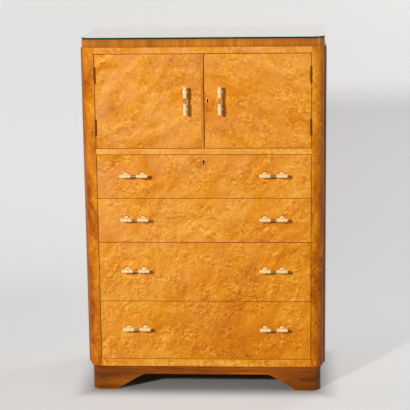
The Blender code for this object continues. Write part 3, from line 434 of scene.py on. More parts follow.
class TallboySizes(bpy.types.PropertyGroup):
    """Fine sizes that the solids leave out."""

    corner_steps: IntProperty(
        name="Corner Steps", description="Facets of each round corner", default=28, min=6, max=64
    )
    arris: length("Arris", "Rounding of the veneered edges", 0.0004)
    soft_edge: length("Soft Edge", "Rounding of the crown's top edge and of the shelf", 0.0014)
    glass_arris: length("Glass Arris", "Polished edge of the glass", 0.0009)
    # Painted shade in the posts: deeper towards a post's outer side, and deeper all over the left-hand post
    post_toning: amount("Post Toning", "How much deeper the posts are at their outer side", 0.55)
    left_post_toning: amount("Left Post Toning", "How much deeper the left-hand post is", 0.24)
    # Painted shade in the bead: deeper towards its edges, most on its right-hand side
    bead_toning: amount("Bead Toning", "How much deeper the bead is at its edges", 0.9, 0.0, 2.0)
    crossband_width: length("Crossband Width", "Border of the crown's top face", 0.034)
    tube_length: length("Tube Length", "Cream tube of a handle", 0.0405)
    tube_radius: length("Tube Radius", "Radius of a cream tube", 0.0067)
    bar_gap: length("Bar Gap", "Bare rod between the cream tubes", 0.021)
    rod_radius: length("Rod Radius", "Radius of the plated rod", 0.00425)
    standoff: length("Standoff", "Bar's distance from the wood", 0.0245)
    ring_radius: length("Ring Radius", "Radius of a bracket's ring", 0.0075)
    ring_width: length("Ring Width", "Width of a bracket's ring", 0.010)
    neck_radius: length("Neck Radius", "Radius of a bracket's neck", 0.0056)
    foot_radius: length("Foot Radius", "Radius of a bracket's foot", 0.0099)
    foot_flare: length("Foot Flare", "Length over which the foot flares", 0.007)
    rosette_radius: length("Rosette Radius", "Radius of a plated rosette", 0.0125)
    rosette_thickness: length("Rosette Thickness", "Thickness of a rosette", 0.0026)
    screw_head_radius: length("Screw Head Radius", "Radius of a handle screw's head", 0.0042)
    screw_head_height: length("Screw Head Height", "Height of a handle screw's head", 0.0022)
    keyhole_height: length("Keyhole Height", "Height of a keyhole", 0.0135)
    keyhole_radius: length("Keyhole Radius", "Radius of a keyhole's round top", 0.0028)
    keyhole_slot: length("Keyhole Slot", "Width of a keyhole's slot", 0.0032)
    keyhole_depth: length("Keyhole Depth", "Depth of a keyhole's sleeve", 0.0075)
    # Painted shade: a dark flange that widens a keyhole's dark shape
    keyhole_flange: length("Keyhole Flange", "Width of the dark flange round a keyhole", 0.0011)
    escutcheon_width: length("Escutcheon Width", "Width of the oval plate", 0.0114)
    escutcheon_height: length("Escutcheon Height", "Height of the oval plate", 0.0214)
    escutcheon_pocket: length("Escutcheon Pocket", "Depth of the plate's pocket", 0.0008)
    escutcheon_rise: length("Escutcheon Rise", "Height of the plate over the wood", 0.0005)
    door_keyhole_x: length("Door Keyhole Across", "Keyhole's distance from the middle", 0.0177)
    door_keyhole_z: length("Door Keyhole Height", "Keyhole's height on the door", 1.0906)
    drawer_keyhole_z: length("Drawer Keyhole Height", "Keyhole's height on the top drawer", 0.8664)
    leaf_thickness: length("Hinge Leaf Thickness", "Thickness of a hinge leaf", 0.0014)
    leaf_inlet: length("Hinge Leaf Inlet", "Depth of a hinge leaf's inlet", 0.0015)
    hinge_screw_radius: length("Hinge Screw Radius", "Radius of a hinge screw's head", 0.0024)
    hinge_screw_rise: length("Hinge Screw Rise", "Height of a hinge screw over its leaf", 0.0002)
    hinge_screw_inset: length("Hinge Screw Inset", "Screw's distance from the leaf's edge", 0.0062)
    block_width: length("Plinth Block Width", "Width of the plinth's corner blocks", 0.062)
    plinth_thickness: length("Plinth Thickness", "Thickness of the plinth's boards", 0.02)
    foot_length: length("Foot Length", "Length of a foot before its arch", 0.0935)
    arch_height: length("Arch Height", "Height of the plinth's arches", 0.0615)
    knee_run: length("Knee Run", "Length of the steep part by a foot", 0.0175)
    knee_rise: length("Knee Rise", "Height of the steep part by a foot", 0.0145)
    slope_run: length("Slope Run", "Length of the front arch's slope", 0.0817)
    side_slope_share: amount("Side Slope Share", "Side arch's slope, of half its span", 0.643, 0.1, 0.9)
    arch_fillet: length("Arch Fillet", "Radius between slope and level", 0.045)
    drawer_side_thickness: length("Drawer Side Thickness", "Thickness of a drawer's sides", 0.01)
    drawer_edge: length("Drawer Edge", "Rounding of a drawer side's top", 0.0016)


def srgb_to_linear(value):
    """One channel of a screen colour as a linear value."""
    if value <= 0.04045:
        return value / 12.92
    return ((value + 0.055) / 1.055) ** 2.4


def colour_property(label, words, red, green, blue):
    """A colour property, written as the values of a photograph, 0 to 255."""
    linear = [srgb_to_linear(value / 255) for value in (red, green, blue)]
    return FloatVectorProperty(
        name=label, description=words, default=linear, size=3, min=0, max=1, subtype="COLOR"
    )


class TallboyFinishes(bpy.types.PropertyGroup):
    """Colours of the finishes."""

    maple_deep: colour_property("Maple Deep", "Deep tone of the maple's figure", 204, 113, 2)
    maple_honey: colour_property("Maple Honey", "Middle tone of the maple", 228, 141, 14)
    maple_light: colour_property("Maple Light", "Light tone of the maple's figure", 255, 186, 76)
    # Painted reflection: the rosy sheen laid on the maple towards its upper left
    maple_rose: colour_property("Maple Rose", "Rosy cast of the faded maple", 246, 171, 96)
    maple_eye: colour_property("Maple Eye", "Heart of the small eyes", 164, 78, 4)
    crossband_deep: colour_property("Crossband Deep", "Dark streaks of the crown's edge", 168, 82, 4)
    crossband_light: colour_property("Crossband Light", "Light streaks of the crown's edge", 228, 142, 28)
    walnut_deep: colour_property("Walnut Deep", "Dark streaks of the plinth", 96, 42, 2)
    walnut_light: colour_property("Walnut Light", "Light streaks of the plinth", 184, 98, 12)
    # Painted shade: the dark finish of edges in the gaps, under the rails and under the glass
    stained_deep: colour_property("Shaded Edge Deep", "Dark streaks of the shaded edges", 96, 34, 0)
    stained_light: colour_property("Shaded Edge Light", "Light streaks of the shaded edges", 146, 62, 4)
    edge_brown: colour_property("Edge Brown", "Solid edges of the side boards", 186, 122, 70)
    ply_light: colour_property("Plywood", "Plain plywood inside and behind", 206, 172, 122)
    ply_deep: colour_property("Plywood Streaks", "Darker streaks of the plywood", 176, 136, 86)
    beech_light: colour_property("Drawer Wood", "Planed hardwood of the drawers", 214, 168, 116)
    beech_deep: colour_property("Drawer Wood Streaks", "Darker streaks of the drawers", 184, 132, 82)
    cream: colour_property("Cream", "Cream plastic of the handles", 255, 222, 158)
    cream_deep: colour_property("Cream Swirl", "Deeper swirl in the cream plastic", 255, 208, 130)
    # Painted reflection: the rod's brown stands for the wood mirrored in its plating
    worn_rod: colour_property("Worn Rod", "Dull plated rod", 190, 152, 102)
    # Painted reflection: the pale crown of a rosette stands for the bright room mirrored in it
    pale_plate: colour_property("Pale Plating", "Worn plating of a rosette's crown", 255, 226, 168)
    # Painted shade: the dark rim of a rosette
    worn_rim: colour_property("Worn Rim", "Darkened rim of a rosette", 112, 82, 50)
    bronze: colour_property("Hinge Brown", "Aged brass of the hinges", 120, 72, 20)
    brass: colour_property("Brass", "Locks, bolt and the drawer's escutcheon", 214, 150, 78)
    rose_brass: colour_property("Rose Brass", "Pinkish plate on the door", 246, 178, 128)
    steel: colour_property("Steel", "Screws", 150, 148, 144)
    glass_edge: colour_property("Glass Edge", "Edge of the plate glass", 0, 50, 32)
    # Painted highlight: the pale arris stands for light caught at the edge of the glass
    glass_line: colour_property("Glass Line", "Polished arris of the glass", 138, 214, 202)


# Node tools

COLOUR = "NodeSocketColor"
NUMBER = "NodeSocketFloat"
VECTOR = "NodeSocketVector"


class Web:
    """A short way to write a node tree."""

    def __init__(self, tree):
        self.tree = tree

    def add(self, kind, inputs=None, **settings):
        """Add a node, set it, and feed its inputs with values or with other nodes' outputs."""
        node = self.tree.nodes.new(kind)
        for name, value in settings.items():
            setattr(node, name, value)
        for name, value in (inputs or {}).items():
            self.feed(node.inputs[name], value)
        return node

    def feed(self, socket, value):
        """Link an output to a socket, or set its value."""
        if isinstance(value, bpy.types.NodeSocket):
            self.tree.links.new(value, socket)
        else:
            socket.default_value = value

    def math(self, operation, first, second=0.0, third=0.0, clamp=False):
        """A math node's output."""
        inputs = {0: first, 1: second, 2: third}
        return self.add("ShaderNodeMath", inputs, operation=operation, use_clamp=clamp).outputs[0]

    def times(self, first, second, clamp=False):
        """One number times another."""
        return self.math("MULTIPLY", first, second, clamp=clamp)

    def minus(self, first, second):
        """One number less another."""
        return self.math("SUBTRACT", first, second)

    def total(self, first, *others):
        """The sum of several numbers."""
        for other in others:
            first = self.math("ADD", first, other)
        return first

    def about_half(self, value, factor, middle=0.0):
        """A value's distance from one half, times a factor, about a new middle."""
        return self.math("MULTIPLY_ADD", self.minus(value, 0.5), factor, middle)

    def vector(self, operation, first, second):
        """A vector math node's output."""
        return self.add("ShaderNodeVectorMath", {0: first, 1: second}, operation=operation).outputs[0]

    def stretched(self, vector, x, y, z):
        """A vector with each axis times its own number."""
        return self.vector("MULTIPLY", vector, (x, y, z))

    def along_grain(self, vector, share):
        """A vector whose pattern is drawn out along Z."""
        return self.stretched(vector, 1.0, 1.0, share)

    def scaled(self, vector, factor):
        """A vector times a number."""
        node = self.add("ShaderNodeVectorMath", {0: vector, "Scale": factor}, operation="SCALE")
        return node.outputs[0]

    def noise(self, vector, scale, detail=3.0, roughness=0.55, distortion=0.0, output="Fac"):
        """A noise texture's output."""
        inputs = {"Vector": vector, "Scale": scale, "Detail": detail}
        inputs |= {"Roughness": roughness, "Distortion": distortion}
        return self.add("ShaderNodeTexNoise", inputs).outputs[output]

    def cells(self, vector, scale):
        """The outputs of a texture of scattered cells."""
        return self.add("ShaderNodeTexVoronoi", {"Vector": vector, "Scale": scale}, feature="F1").outputs

    def chance(self, cells, channel):
        """A random number for each cell."""
        return self.add("ShaderNodeSeparateColor", {"Color": cells["Color"]}).outputs[channel]

    def spot(self, place):
        """The X, Y and Z of a place."""
        return self.add("ShaderNodeSeparateXYZ", {"Vector": place}).outputs

    def attribute(self, name):
        """A number that a piece's mesh holds."""
        return self.add("ShaderNodeAttribute", attribute_name=name).outputs["Fac"]

    def wandering(self, place, noise, reach):
        """A place moved about by a noise."""
        shift = self.vector("SUBTRACT", self.noise(place, *noise, output="Color"), (0.5, 0.5, 0.5))
        return self.vector("ADD", place, self.scaled(shift, reach))

    def range(self, value, low, high, to_low=0.0, to_high=1.0, kind="SMOOTHSTEP"):
        """A value mapped from one range to another, smoothly unless told otherwise."""
        inputs = {"Value": value, "From Min": low, "From Max": high, "To Min": to_low, "To Max": to_high}
        return self.add("ShaderNodeMapRange", inputs, interpolation_type=kind).outputs["Result"]

    def line(self, value, low, high, to_low=0.0, to_high=1.0):
        """A value mapped from one range to another by a straight line."""
        return self.range(value, low, high, to_low, to_high, "LINEAR")

    def mix(self, factor, first, second, blend="MIX"):
        """A colour mix."""
        inputs = {0: factor, 6: first, 7: second}
        return self.add("ShaderNodeMix", inputs, data_type="RGBA", blend_type=blend).outputs[2]

    def tinted(self, colour, shade):
        """A colour made lighter or darker by a share."""
        tint = self.add("ShaderNodeCombineColor", {"Red": shade, "Green": shade, "Blue": shade}).outputs[0]
        return self.mix(1.0, colour, tint, "MULTIPLY")

    def relief(self, place, offset, noise):
        """Painted light and shade on the sides of a bumpy figure: how much a noise falls off over a short way
        towards the light.
        """
        return self.minus(self.noise(place, *noise), self.noise(self.vector("ADD", place, offset), *noise))

    def group(self, name, inputs):
        """The outputs of a shared node group."""
        return self.add("ShaderNodeGroup", inputs, node_tree=shared_group(name)).outputs


def group_tree(name, inputs, outputs):
    """A new shader node group with named inputs and outputs: its web, what it is given and what it gives."""
    tree = bpy.data.node_groups.new(name, "ShaderNodeTree")
    for label, kind, default in inputs:
        socket = tree.interface.new_socket(label, in_out="INPUT", socket_type=kind)
        if default is not None:
            socket.default_value = default
    for label, kind in outputs:
        tree.interface.new_socket(label, in_out="OUTPUT", socket_type=kind)
    web = Web(tree)
    return web, web.add("NodeGroupInput").outputs, web.add("NodeGroupOutput").inputs


# Noises of the veneer, as scale, detail, roughness and distortion
SWIRL = (7.0, 2.0, 0.5)
CLOUD = (6.0, 2.0, 0.5)
BILLOW = (16.0, 1.0, 0.4, 0.3)
BLISTER = (40.0, 2.0, 0.5, 0.9)
RIPPLE = (96.0, 1.0, 0.5, 0.8)
THREAD = (24.0, 1.0, 0.5, 0.9)
MOTTLE = (76.0, 3.0, 0.55, 0.5)
FIBRE = (620.0, 3.0, 0.6)
PATCH = (13.0, 2.0, 0.6, 0.6)
JITTER = (240.0, 1.0, 0.5)
# Patches of the maple's painted rosy sheen
SHEEN_PATCHES = (9.0, 3.0, 0.6, 0.5)
GLOSS = (21.0, 3.0, 0.6)

# Short ways towards the light, over which the veneer's bumps fall off
BILLOW_WAY = (0.010, 0.0, -0.006)
BLISTER_WAY = (0.0042, 0.0, -0.0034)
RIPPLE_WAY = (0.0019, 0.0, -0.0016)
EYE_WAY = (0.0022, 0.0, -0.0026)

# How much each part of the figure adds to the veneer's tone
BILLOW_TONE = 2.2
THREAD_TONE = 0.08
BLISTER_TONE = 1.7
RIPPLE_TONE = 0.9
FINE_TONE = 1.4
FIBRE_TONE = 0.12
HALO_TONE = 0.28

# The eyes: cells to the metre, their shake, their share outside and inside a patch, and their relief
SWIRL_REACH = 0.05
EYE_SCALE = 95.0
EYE_SHAKE = 0.003
EYE_FEWEST = 0.06
EYE_CROWDING = 0.9
EYE_FADE = 0.06
PATCH_RANGE = (0.42, 0.60)
PATCH_SPREAD = 0.8
PLAIN_SPREAD = 0.45
HEART_RANGE = (0.42, 0.10)
HALO_RANGE = (0.42, 0.16)
EYE_RELIEF = 0.5
FINE_RELIEF = 0.35
FIBRE_RELIEF = 0.25

# The veneer's tones and gloss: from and to, where it has four numbers also what they become
THREAD_RANGE = (0.05, 0.0)
CLOUD_RANGE = (0.42, 0.62)
HONEY_RANGE = (0.0, 0.5)
LIGHT_RANGE = (0.5, 1.25)
EYE_RANGE = (0.0, -0.6)
# Where the patches of the painted rosy sheen begin and end
SHEEN_PATCH_RANGE = (0.36, 0.66)
MAPLE_GLOSS = (0.3, 0.7, 0.40, 0.54)

# Straight-grained wood
WANDER = (4.0, 2.0, 0.5)
WANDER_REACH = 0.03
BAND = (4.0, 0.55, 0.3)
STREAK = (4.0, 0.65)
PORES = (1500.0, 1.0, 0.5)
PORE_RANGE = (0.60, 0.72)
BAND_TONE = 1.3
STREAK_TONE = 0.9
PORE_TONE = 0.6
STREAK_RELIEF = 0.4
WOOD_GLOSS = (0.3, 0.7, 0.30, 0.46)

# Marks of age
SPECK_SCALE = 210.0
SPECK_RANGE = (0.2, 0.08)
RARE_RANGE = (0.955, 0.965)
SCRATCHES = (900.0, 1.0, 0.4, 0.2)
SCRATCH_RANGE = (0.68, 0.74)
SMEARS = (9.0, 3.0, 0.6)
MARK_GLOSS = 0.12


def eye_masks(web, place, patches):
    """Hearts of the small eyes, which crowd together in the patches, and a painted highlight beside each, on
    its side towards the light.
    """
    eye_place = web.vector("ADD", place, web.scaled(web.noise(place, *JITTER, output="Color"), EYE_SHAKE))
    eyes = web.cells(eye_place, EYE_SCALE)
    crowding = web.math("MULTIPLY_ADD", patches, EYE_CROWDING, EYE_FEWEST)
    present = web.range(web.minus(crowding, web.chance(eyes, "Red")), 0.0, EYE_FADE)
    heart = web.times(web.range(eyes["Distance"], *HEART_RANGE), present)
    bright = web.cells(web.vector("ADD", eye_place, EYE_WAY), EYE_SCALE)
    return heart, web.times(web.range(bright["Distance"], *HALO_RANGE), patches)


def figured_veneer_group():
    """Bird's-eye veneer: clouds, slanting billows, blistered mottle, clustered eyes and a grain along Z."""
    web, given, result = group_tree(
        "Figured Veneer",
        (
            ("Vector", VECTOR, None),
            ("Deep", COLOUR, (0.5, 0.2, 0.02, 1)),
            ("Honey", COLOUR, (0.7, 0.3, 0.03, 1)),
            ("Light", COLOUR, (0.9, 0.5, 0.1, 1)),
            ("Rose", COLOUR, (0.9, 0.4, 0.15, 1)),
            ("Eye", COLOUR, (0.2, 0.05, 0.01, 1)),
            ("Slant", NUMBER, 0.6),
            ("Stretch", NUMBER, 0.5),
            ("Billow", NUMBER, 0.5),
            ("Blister", NUMBER, 0.5),
            ("Mottle", NUMBER, 1.5),
            ("Eyes", NUMBER, 0.5),
            ("Tone", NUMBER, 0.0),
            ("Rosiness", NUMBER, 0.2),
        ),
        (("Colour", COLOUR), ("Height", NUMBER), ("Roughness", NUMBER)),
    )
    place = given["Vector"]
    warped = web.wandering(place, SWIRL, SWIRL_REACH)
    turn = {"Vector": warped, "Angle": given["Slant"]}
    slanted = web.add("ShaderNodeVectorRotate", turn, rotation_type="Y_AXIS").outputs[0]
    stretch = web.add("ShaderNodeCombineXYZ", {"X": 1.0, "Y": 1.0, "Z": given["Stretch"]}).outputs[0]
    figure = web.vector("MULTIPLY", slanted, stretch)

    cloud = web.noise(warped, *CLOUD)
    thread = web.math("ABSOLUTE", web.minus(web.noise(figure, *THREAD), 0.5))
    thread = web.times(web.range(thread, *THREAD_RANGE), web.range(cloud, *CLOUD_RANGE))
    fibre = web.noise(web.along_grain(warped, 0.045), *FIBRE)
    patches = web.range(web.noise(place, *PATCH), *PATCH_RANGE)
    heart, halo = eye_masks(web, place, patches)

    # Painted light and shade: each bump is lighter on its side towards the light and darker on the far side
    blister = web.relief(slanted, BLISTER_WAY, BLISTER)
    ripple = web.times(web.relief(place, RIPPLE_WAY, RIPPLE), RIPPLE_TONE)
    fine = web.math("MULTIPLY_ADD", blister, BLISTER_TONE, ripple)
    fine = web.times(fine, web.times(given["Blister"], FINE_TONE))
    fine = web.total(fine, web.times(web.minus(web.noise(place, *MOTTLE), 0.5), given["Mottle"]))
    fine = web.times(fine, web.math("MULTIPLY_ADD", patches, PATCH_SPREAD, PLAIN_SPREAD))
    billow = web.relief(figure, BILLOW_WAY, BILLOW)
    tone = web.total(
        cloud,
        given["Tone"],
        web.times(billow, web.times(given["Billow"], BILLOW_TONE)),
        web.times(thread, web.times(given["Billow"], THREAD_TONE)),
        fine,
        web.times(web.minus(fibre, 0.5), FIBRE_TONE),
        web.times(halo, web.times(given["Eyes"], HALO_TONE)),
    )

    dark_half = web.mix(web.line(tone, *HONEY_RANGE), given["Deep"], given["Honey"])
    colour = web.mix(web.line(tone, *LIGHT_RANGE), dark_half, given["Light"])
    # Painted reflection: the Rose colour laid on in patches as a rosy sheen in the varnish
    rose_sheen = web.range(web.noise(place, *SHEEN_PATCHES), *SHEEN_PATCH_RANGE)
    colour = web.mix(web.times(rose_sheen, given["Rosiness"]), colour, given["Rose"])
    colour = web.mix(web.line(tone, *EYE_RANGE), colour, given["Eye"])
    colour = web.mix(web.times(heart, given["Eyes"], clamp=True), colour, given["Eye"])
    height = web.math("MULTIPLY_ADD", fine, FINE_RELIEF, web.times(fibre, FIBRE_RELIEF))
    web.feed(result["Colour"], colour)
    web.feed(result["Height"], web.minus(height, web.times(heart, EYE_RELIEF)))
    web.feed(result["Roughness"], web.range(web.noise(place, *GLOSS), *MAPLE_GLOSS))
    return web.tree


def streaked_wood_group():
    """Straight-grained wood along Z: broad bands, fine streaks and open pores."""
    web, given, result = group_tree(
        "Streaked Wood",
        (
            ("Vector", VECTOR, None),
            ("Deep", COLOUR, (0.1, 0.03, 0.01, 1)),
            ("Light", COLOUR, (0.4, 0.15, 0.04, 1)),
            ("Band Scale", NUMBER, 30.0),
            ("Streak Scale", NUMBER, 300.0),
            ("Pore Strength", NUMBER, 0.4),
            ("Contrast", NUMBER, 1.0),
        ),
        (("Colour", COLOUR), ("Height", NUMBER), ("Roughness", NUMBER)),
    )
    warped = web.wandering(given["Vector"], WANDER, WANDER_REACH)
    band = web.noise(web.along_grain(warped, 0.06), given["Band Scale"], *BAND)
    streak = web.noise(web.along_grain(warped, 0.02), given["Streak Scale"], *STREAK)
    pores = web.range(web.noise(web.along_grain(warped, 0.05), *PORES), *PORE_RANGE)
    tone = web.total(web.about_half(band, BAND_TONE, 0.5), web.about_half(streak, STREAK_TONE))
    tone = web.about_half(tone, given["Contrast"], 0.5)
    colour = web.mix(web.range(tone, 0.0, 1.0), given["Deep"], given["Light"])
    pore_share = web.times(pores, given["Pore Strength"], clamp=True)
    web.feed(result["Colour"], web.mix(web.times(pore_share, PORE_TONE), colour, given["Deep"]))
    web.feed(result["Height"], web.minus(web.times(streak, STREAK_RELIEF), pore_share))
    web.feed(result["Roughness"], web.range(band, *WOOD_GLOSS))
    return web.tree


def wear_group():
    """Small marks of age: cloudy patches, faint scratches and specks, as a mask and a roughness change."""
    web, given, result = group_tree(
        "Wear",
        (("Vector", VECTOR, None), ("Amount", NUMBER, 0.5)),
        (("Mask", NUMBER), ("Roughness", NUMBER)),
    )
    place = given["Vector"]
    specks = web.cells(place, SPECK_SCALE)
    rare = web.range(web.chance(specks, "Green"), *RARE_RANGE)
    dots = web.times(web.range(specks["Distance"], *SPECK_RANGE), rare)
    scratches = web.noise(web.along_grain(place, 0.05), *SCRATCHES)
    lines = web.times(web.range(scratches, *SCRATCH_RANGE), MARK_GLOSS)
    change = web.about_half(web.noise(place, *SMEARS), MARK_GLOSS, lines)
    web.feed(result["Mask"], web.times(dots, given["Amount"]))
    web.feed(result["Roughness"], web.times(change, given["Amount"]))
    return web.tree


GROUP_MAKERS = {"figured": figured_veneer_group, "streaked": streaked_wood_group, "wear": wear_group}
GROUPS = {}


def shared_group(name):
    """The node group of a name, built once."""
    if name not in GROUPS:
        GROUPS[name] = GROUP_MAKERS[name]()
    return GROUPS[name]


# Finishes

# Painted light on the maple: painted shade deepens it towards the lower right and the foot, and a painted
# rosy sheen grows towards the upper left
LIT_SLOPE = 0.8
FALL_RANGE = (1.3, 0.1)
SHADE_RANGE = (0.3, -0.3, 0.0, 0.24)
ROSE_RANGE = (0.0, 1.3)
MOTTLE_MOST = 2.2
MAPLE_WEAR = 0.7
WOOD_WEAR = 0.6
ENDS_REACH = 0.9

# Bumps, as strength and distance, and clear coats, as weight, roughness and the specular level beneath
MAPLE_BUMP = (0.14, 0.0006)
WOOD_BUMP = (0.25, 0.0004)
CROSSBAND_BUMP = (0.2, 0.0004)
CREAM_BUMP = (0.05, 0.0002)
PIT_DEPTH = 0.0001
COAT_IOR = 1.5
MAPLE_COAT_ROUGHNESS = 0.22
WOOD_COAT_ROUGHNESS = 0.16
CROSSBAND_COAT = (0.25, 0.14)
CREAM_COAT = (0.2, 0.12, 0.4)
EDGE_COAT = (0.25, 0.06)

# Leaves of the crossband along the crown's edge: where they start, how long each is, its grain, the painted
# shade towards the crown's top and bottom faces, and its tones
CROSSBAND_START = 0.055
CROSSBAND_LEAF = 0.236
CROSSBAND_GRAIN = (36.0, 330.0, 0.35, 0.85)
CROSSBAND_SHADE = (1.04, 0.86)
CROSSBAND_TONES = (0.86, 1.12)

# Cream plastic, metals and glass
CREAM_SWIRL = (95.0, 4.0, 0.6, 1.4)
CREAM_DIRT = (900.0, 2.0, 0.5)
SWIRL_RANGE = (0.40, 0.72)
DIRT_RANGE = (0.66, 0.78, 0.0, 0.18)
CREAM_GLOSS = (0.3, 0.7, 0.22, 0.36)
CREAM_GLOW = (1.0, 0.6, 0.3)
MIDDLE_RANGE = (0.3, 0.7)
TARNISH = (140.0, 4.0, 0.62, 0.5)
TARNISH_RANGE = (0.45, 0.75)
PITS = (1900.0, 2.0, 0.5)
PIT_RANGE = (0.6, 0.75, 0.0, 0.1)
CLEAR_GLASS = (0.90, 0.97, 0.95, 1)
GLASS_IOR = 1.52
WIPES = (30.0, 4.0, 0.6, 0.8)
WIPE_MARKS = (0.4, 0.8, 0.01, 0.05)
DUST = (700.0, 2.0, 0.5)
DUST_MARKS = (0.68, 0.78, 0.0, 0.08)
GROUND_EDGE = (260.0, 3.0, 0.55)
GREEN_RANGE = (0.3, 0.75)
GRIT = (800.0, 3.0, 0.6)
GRIT_GLOSS = (0.2, 0.8, 0.7, 0.9)
HOLLOW_BLACK = (0.012, 0.004, 0.002, 1)
HOLLOW_BROWN = (0.03, 0.012, 0.006, 1)


def colour(name, share=1.0):
    """A finish's colour by name, at a share of its brightness and with full alpha."""
    return (*(value * share for value in getattr(bpy.context.scene.tallboy_finishes, name)), 1.0)


def new_material(name):
    """A material with a web, its Principled shader and object coordinates."""
    surface = bpy.data.materials.new(name)
    surface.use_nodes = True
    web = Web(surface.node_tree)
    shader = surface.node_tree.nodes["Principled BSDF"]
    return surface, web, shader, web.add("ShaderNodeTexCoord").outputs["Object"]


def set_shader(shader, **values):
    """Set the shader's own sockets, with their names' spaces written as underscores."""
    for name, value in values.items():
        shader.inputs[name.replace("_", " ")].default_value = value


def varnish(shader, weight, roughness, specular=0.1):
    """A clear coat, set on the shader's own sockets."""
    set_shader(shader, Coat_Weight=weight, Coat_Roughness=roughness, Coat_IOR=COAT_IOR)
    set_shader(shader, Specular_IOR_Level=specular)


def surfaced(web, shader, colour_output, roughness, height=None, strength=0.0, distance=0.0):
    """Feed a colour, a roughness and the height of a bump to the shader."""
    web.feed(shader.inputs["Base Color"], colour_output)
    web.feed(shader.inputs["Roughness"], roughness)
    if height is not None:
        inputs = {"Height": height, "Strength": strength, "Distance": distance}
        web.feed(shader.inputs["Normal"], web.add("ShaderNodeBump", inputs).outputs["Normal"])


def mapped(web, place, leaf, turn):
    """A place in a leaf of wood of its own, turned by angles in degrees."""
    inputs = {"Vector": place, "Location": leaf, "Rotation": [math.radians(angle) for angle in turn]}
    return web.add("ShaderNodeMapping", inputs).outputs[0]


def maple_material(
    name, leaf, turn, slant, stretch, billow, blister, eyes, tone=0.0, fall=0.0, coat=0.2, rose=0.55
):
    """One leaf of varnished bird's-eye maple, in its own stretch of figure.

    Turn and slant give the grain's and the figure's directions in degrees, and fall is how much painted shade
    deepens the tone from the top of the chest to its foot. Painted shade also deepens it towards the lower
    right, rose is the strength of a painted rosy sheen towards the upper left, and where a piece carries a
    painted-shade attribute, that deepens it too.
    """
    surface, web, shader, place = new_material(name)
    mapping = mapped(web, place, leaf, (0, turn, 0))
    spot = web.spot(place)
    # Painted light: shade deepens the tone towards the lower right and the foot, and a rosy sheen grows
    # towards the upper left
    faded = web.minus(web.times(spot["Z"], LIT_SLOPE), spot["X"])
    sunk = web.line(spot["Z"], *FALL_RANGE, tone, tone - fall)
    sunk = web.minus(sunk, web.line(faded, *SHADE_RANGE))
    inputs = {
        "Vector": mapping,
        "Deep": colour("maple_deep"),
        "Honey": colour("maple_honey"),
        "Light": colour("maple_light"),
        "Rose": colour("maple_rose"),
        "Eye": colour("maple_eye"),
        "Slant": math.radians(slant),
        "Stretch": stretch,
        "Billow": billow,
        "Blister": blister,
        "Mottle": MOTTLE_MOST - blister,
        "Eyes": eyes,
        "Tone": web.minus(sunk, web.attribute("toned")),
        "Rosiness": web.line(faded, *ROSE_RANGE, 0.0, rose),
    }
    figure = web.group("figured", inputs)
    wear = web.group("wear", {"Vector": mapping, "Amount": MAPLE_WEAR})
    worn = web.mix(wear["Mask"], figure["Colour"], colour("maple_eye"))
    roughness = web.total(figure["Roughness"], wear["Roughness"])
    surfaced(web, shader, worn, roughness, figure["Height"], *MAPLE_BUMP)
    varnish(shader, coat, MAPLE_COAT_ROUGHNESS)
    return surface


def streaked(web, place, deep, light, bands, streaks, pores, contrast):
    """The outputs of the straight-grained wood's group."""
    inputs = {
        "Vector": place, "Deep": deep, "Light": light, "Band Scale": bands, "Streak Scale": streaks,
        "Pore Strength": pores, "Contrast": contrast,
    }
    return web.group("streaked", inputs)


def wood_material(
    name, tones, turn, bands, streaks, pores, coat, contrast, leaf=(0, 0, 0), base=0.0, ends=0.0
):
    """A straight-grained wood.

    Tones hold the deep and the light colour, turn the angles in degrees that bring the grain to the piece's
    direction, and ends is how much darker the wood is towards the chest's sides than in its middle.
    """
    surface, web, shader, place = new_material(name)
    mapping = mapped(web, place, leaf, turn)
    deep, light = (colour(*tone) for tone in tones)
    grain = streaked(web, mapping, deep, light, bands, streaks, pores, contrast)
    wear = web.group("wear", {"Vector": mapping, "Amount": WOOD_WEAR})
    worn = web.mix(wear["Mask"], grain["Colour"], deep)
    if ends:
        across = web.math("ABSOLUTE", web.spot(place)["X"])
        shade = web.line(across, POST_HALF / 2, POST_HALF * ENDS_REACH, 1 + ends / 2, 1 - ends)
        worn = web.tinted(worn, shade)
    roughness = web.total(grain["Roughness"], wear["Roughness"], base)
    surfaced(web, shader, worn, roughness, grain["Height"], *WOOD_BUMP)
    if coat:
        varnish(shader, coat, WOOD_COAT_ROUGHNESS)
    return surface


def crossband_material(name):
    """The crown's border: short leaves of reddish veneer laid across it, their grain square to the edge, with
    painted shade towards the crown's top and bottom faces.
    """
    surface, web, shader, place = new_material(name)
    along = web.attribute("along_edge")
    height = web.spot(place)["Z"]
    across = web.minus(height, web.attribute("from_edge"))
    edge_place = web.add("ShaderNodeCombineXYZ", {"X": along, "Y": 0.0, "Z": across}).outputs[0]
    leaf = web.math("FLOOR", web.math("DIVIDE", web.total(along, CROSSBAND_START), CROSSBAND_LEAF))
    chance = web.add("ShaderNodeTexWhiteNoise", {"W": leaf}, noise_dimensions="1D").outputs["Value"]
    leaf_place = web.vector("ADD", edge_place, web.scaled((1.0, 0.0, 0.0), chance))
    grain = streaked(
        web, leaf_place, colour("crossband_deep"), colour("crossband_light"), *CROSSBAND_GRAIN
    )
    low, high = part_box("top_board")
    middle = (low.z + high.z) / 2
    # Painted shade: darker towards the crown's top and bottom faces
    from_middle = web.math("ABSOLUTE", web.minus(height, middle))
    sunk = web.range(from_middle, 0.0, high.z - middle, *CROSSBAND_SHADE)
    shade = web.times(web.range(chance, 0.0, 1.0, *CROSSBAND_TONES), sunk)
    toned = web.tinted(grain["Colour"], shade)
    surfaced(web, shader, toned, grain["Roughness"], grain["Height"], *CROSSBAND_BUMP)
    varnish(shader, *CROSSBAND_COAT)
    return surface


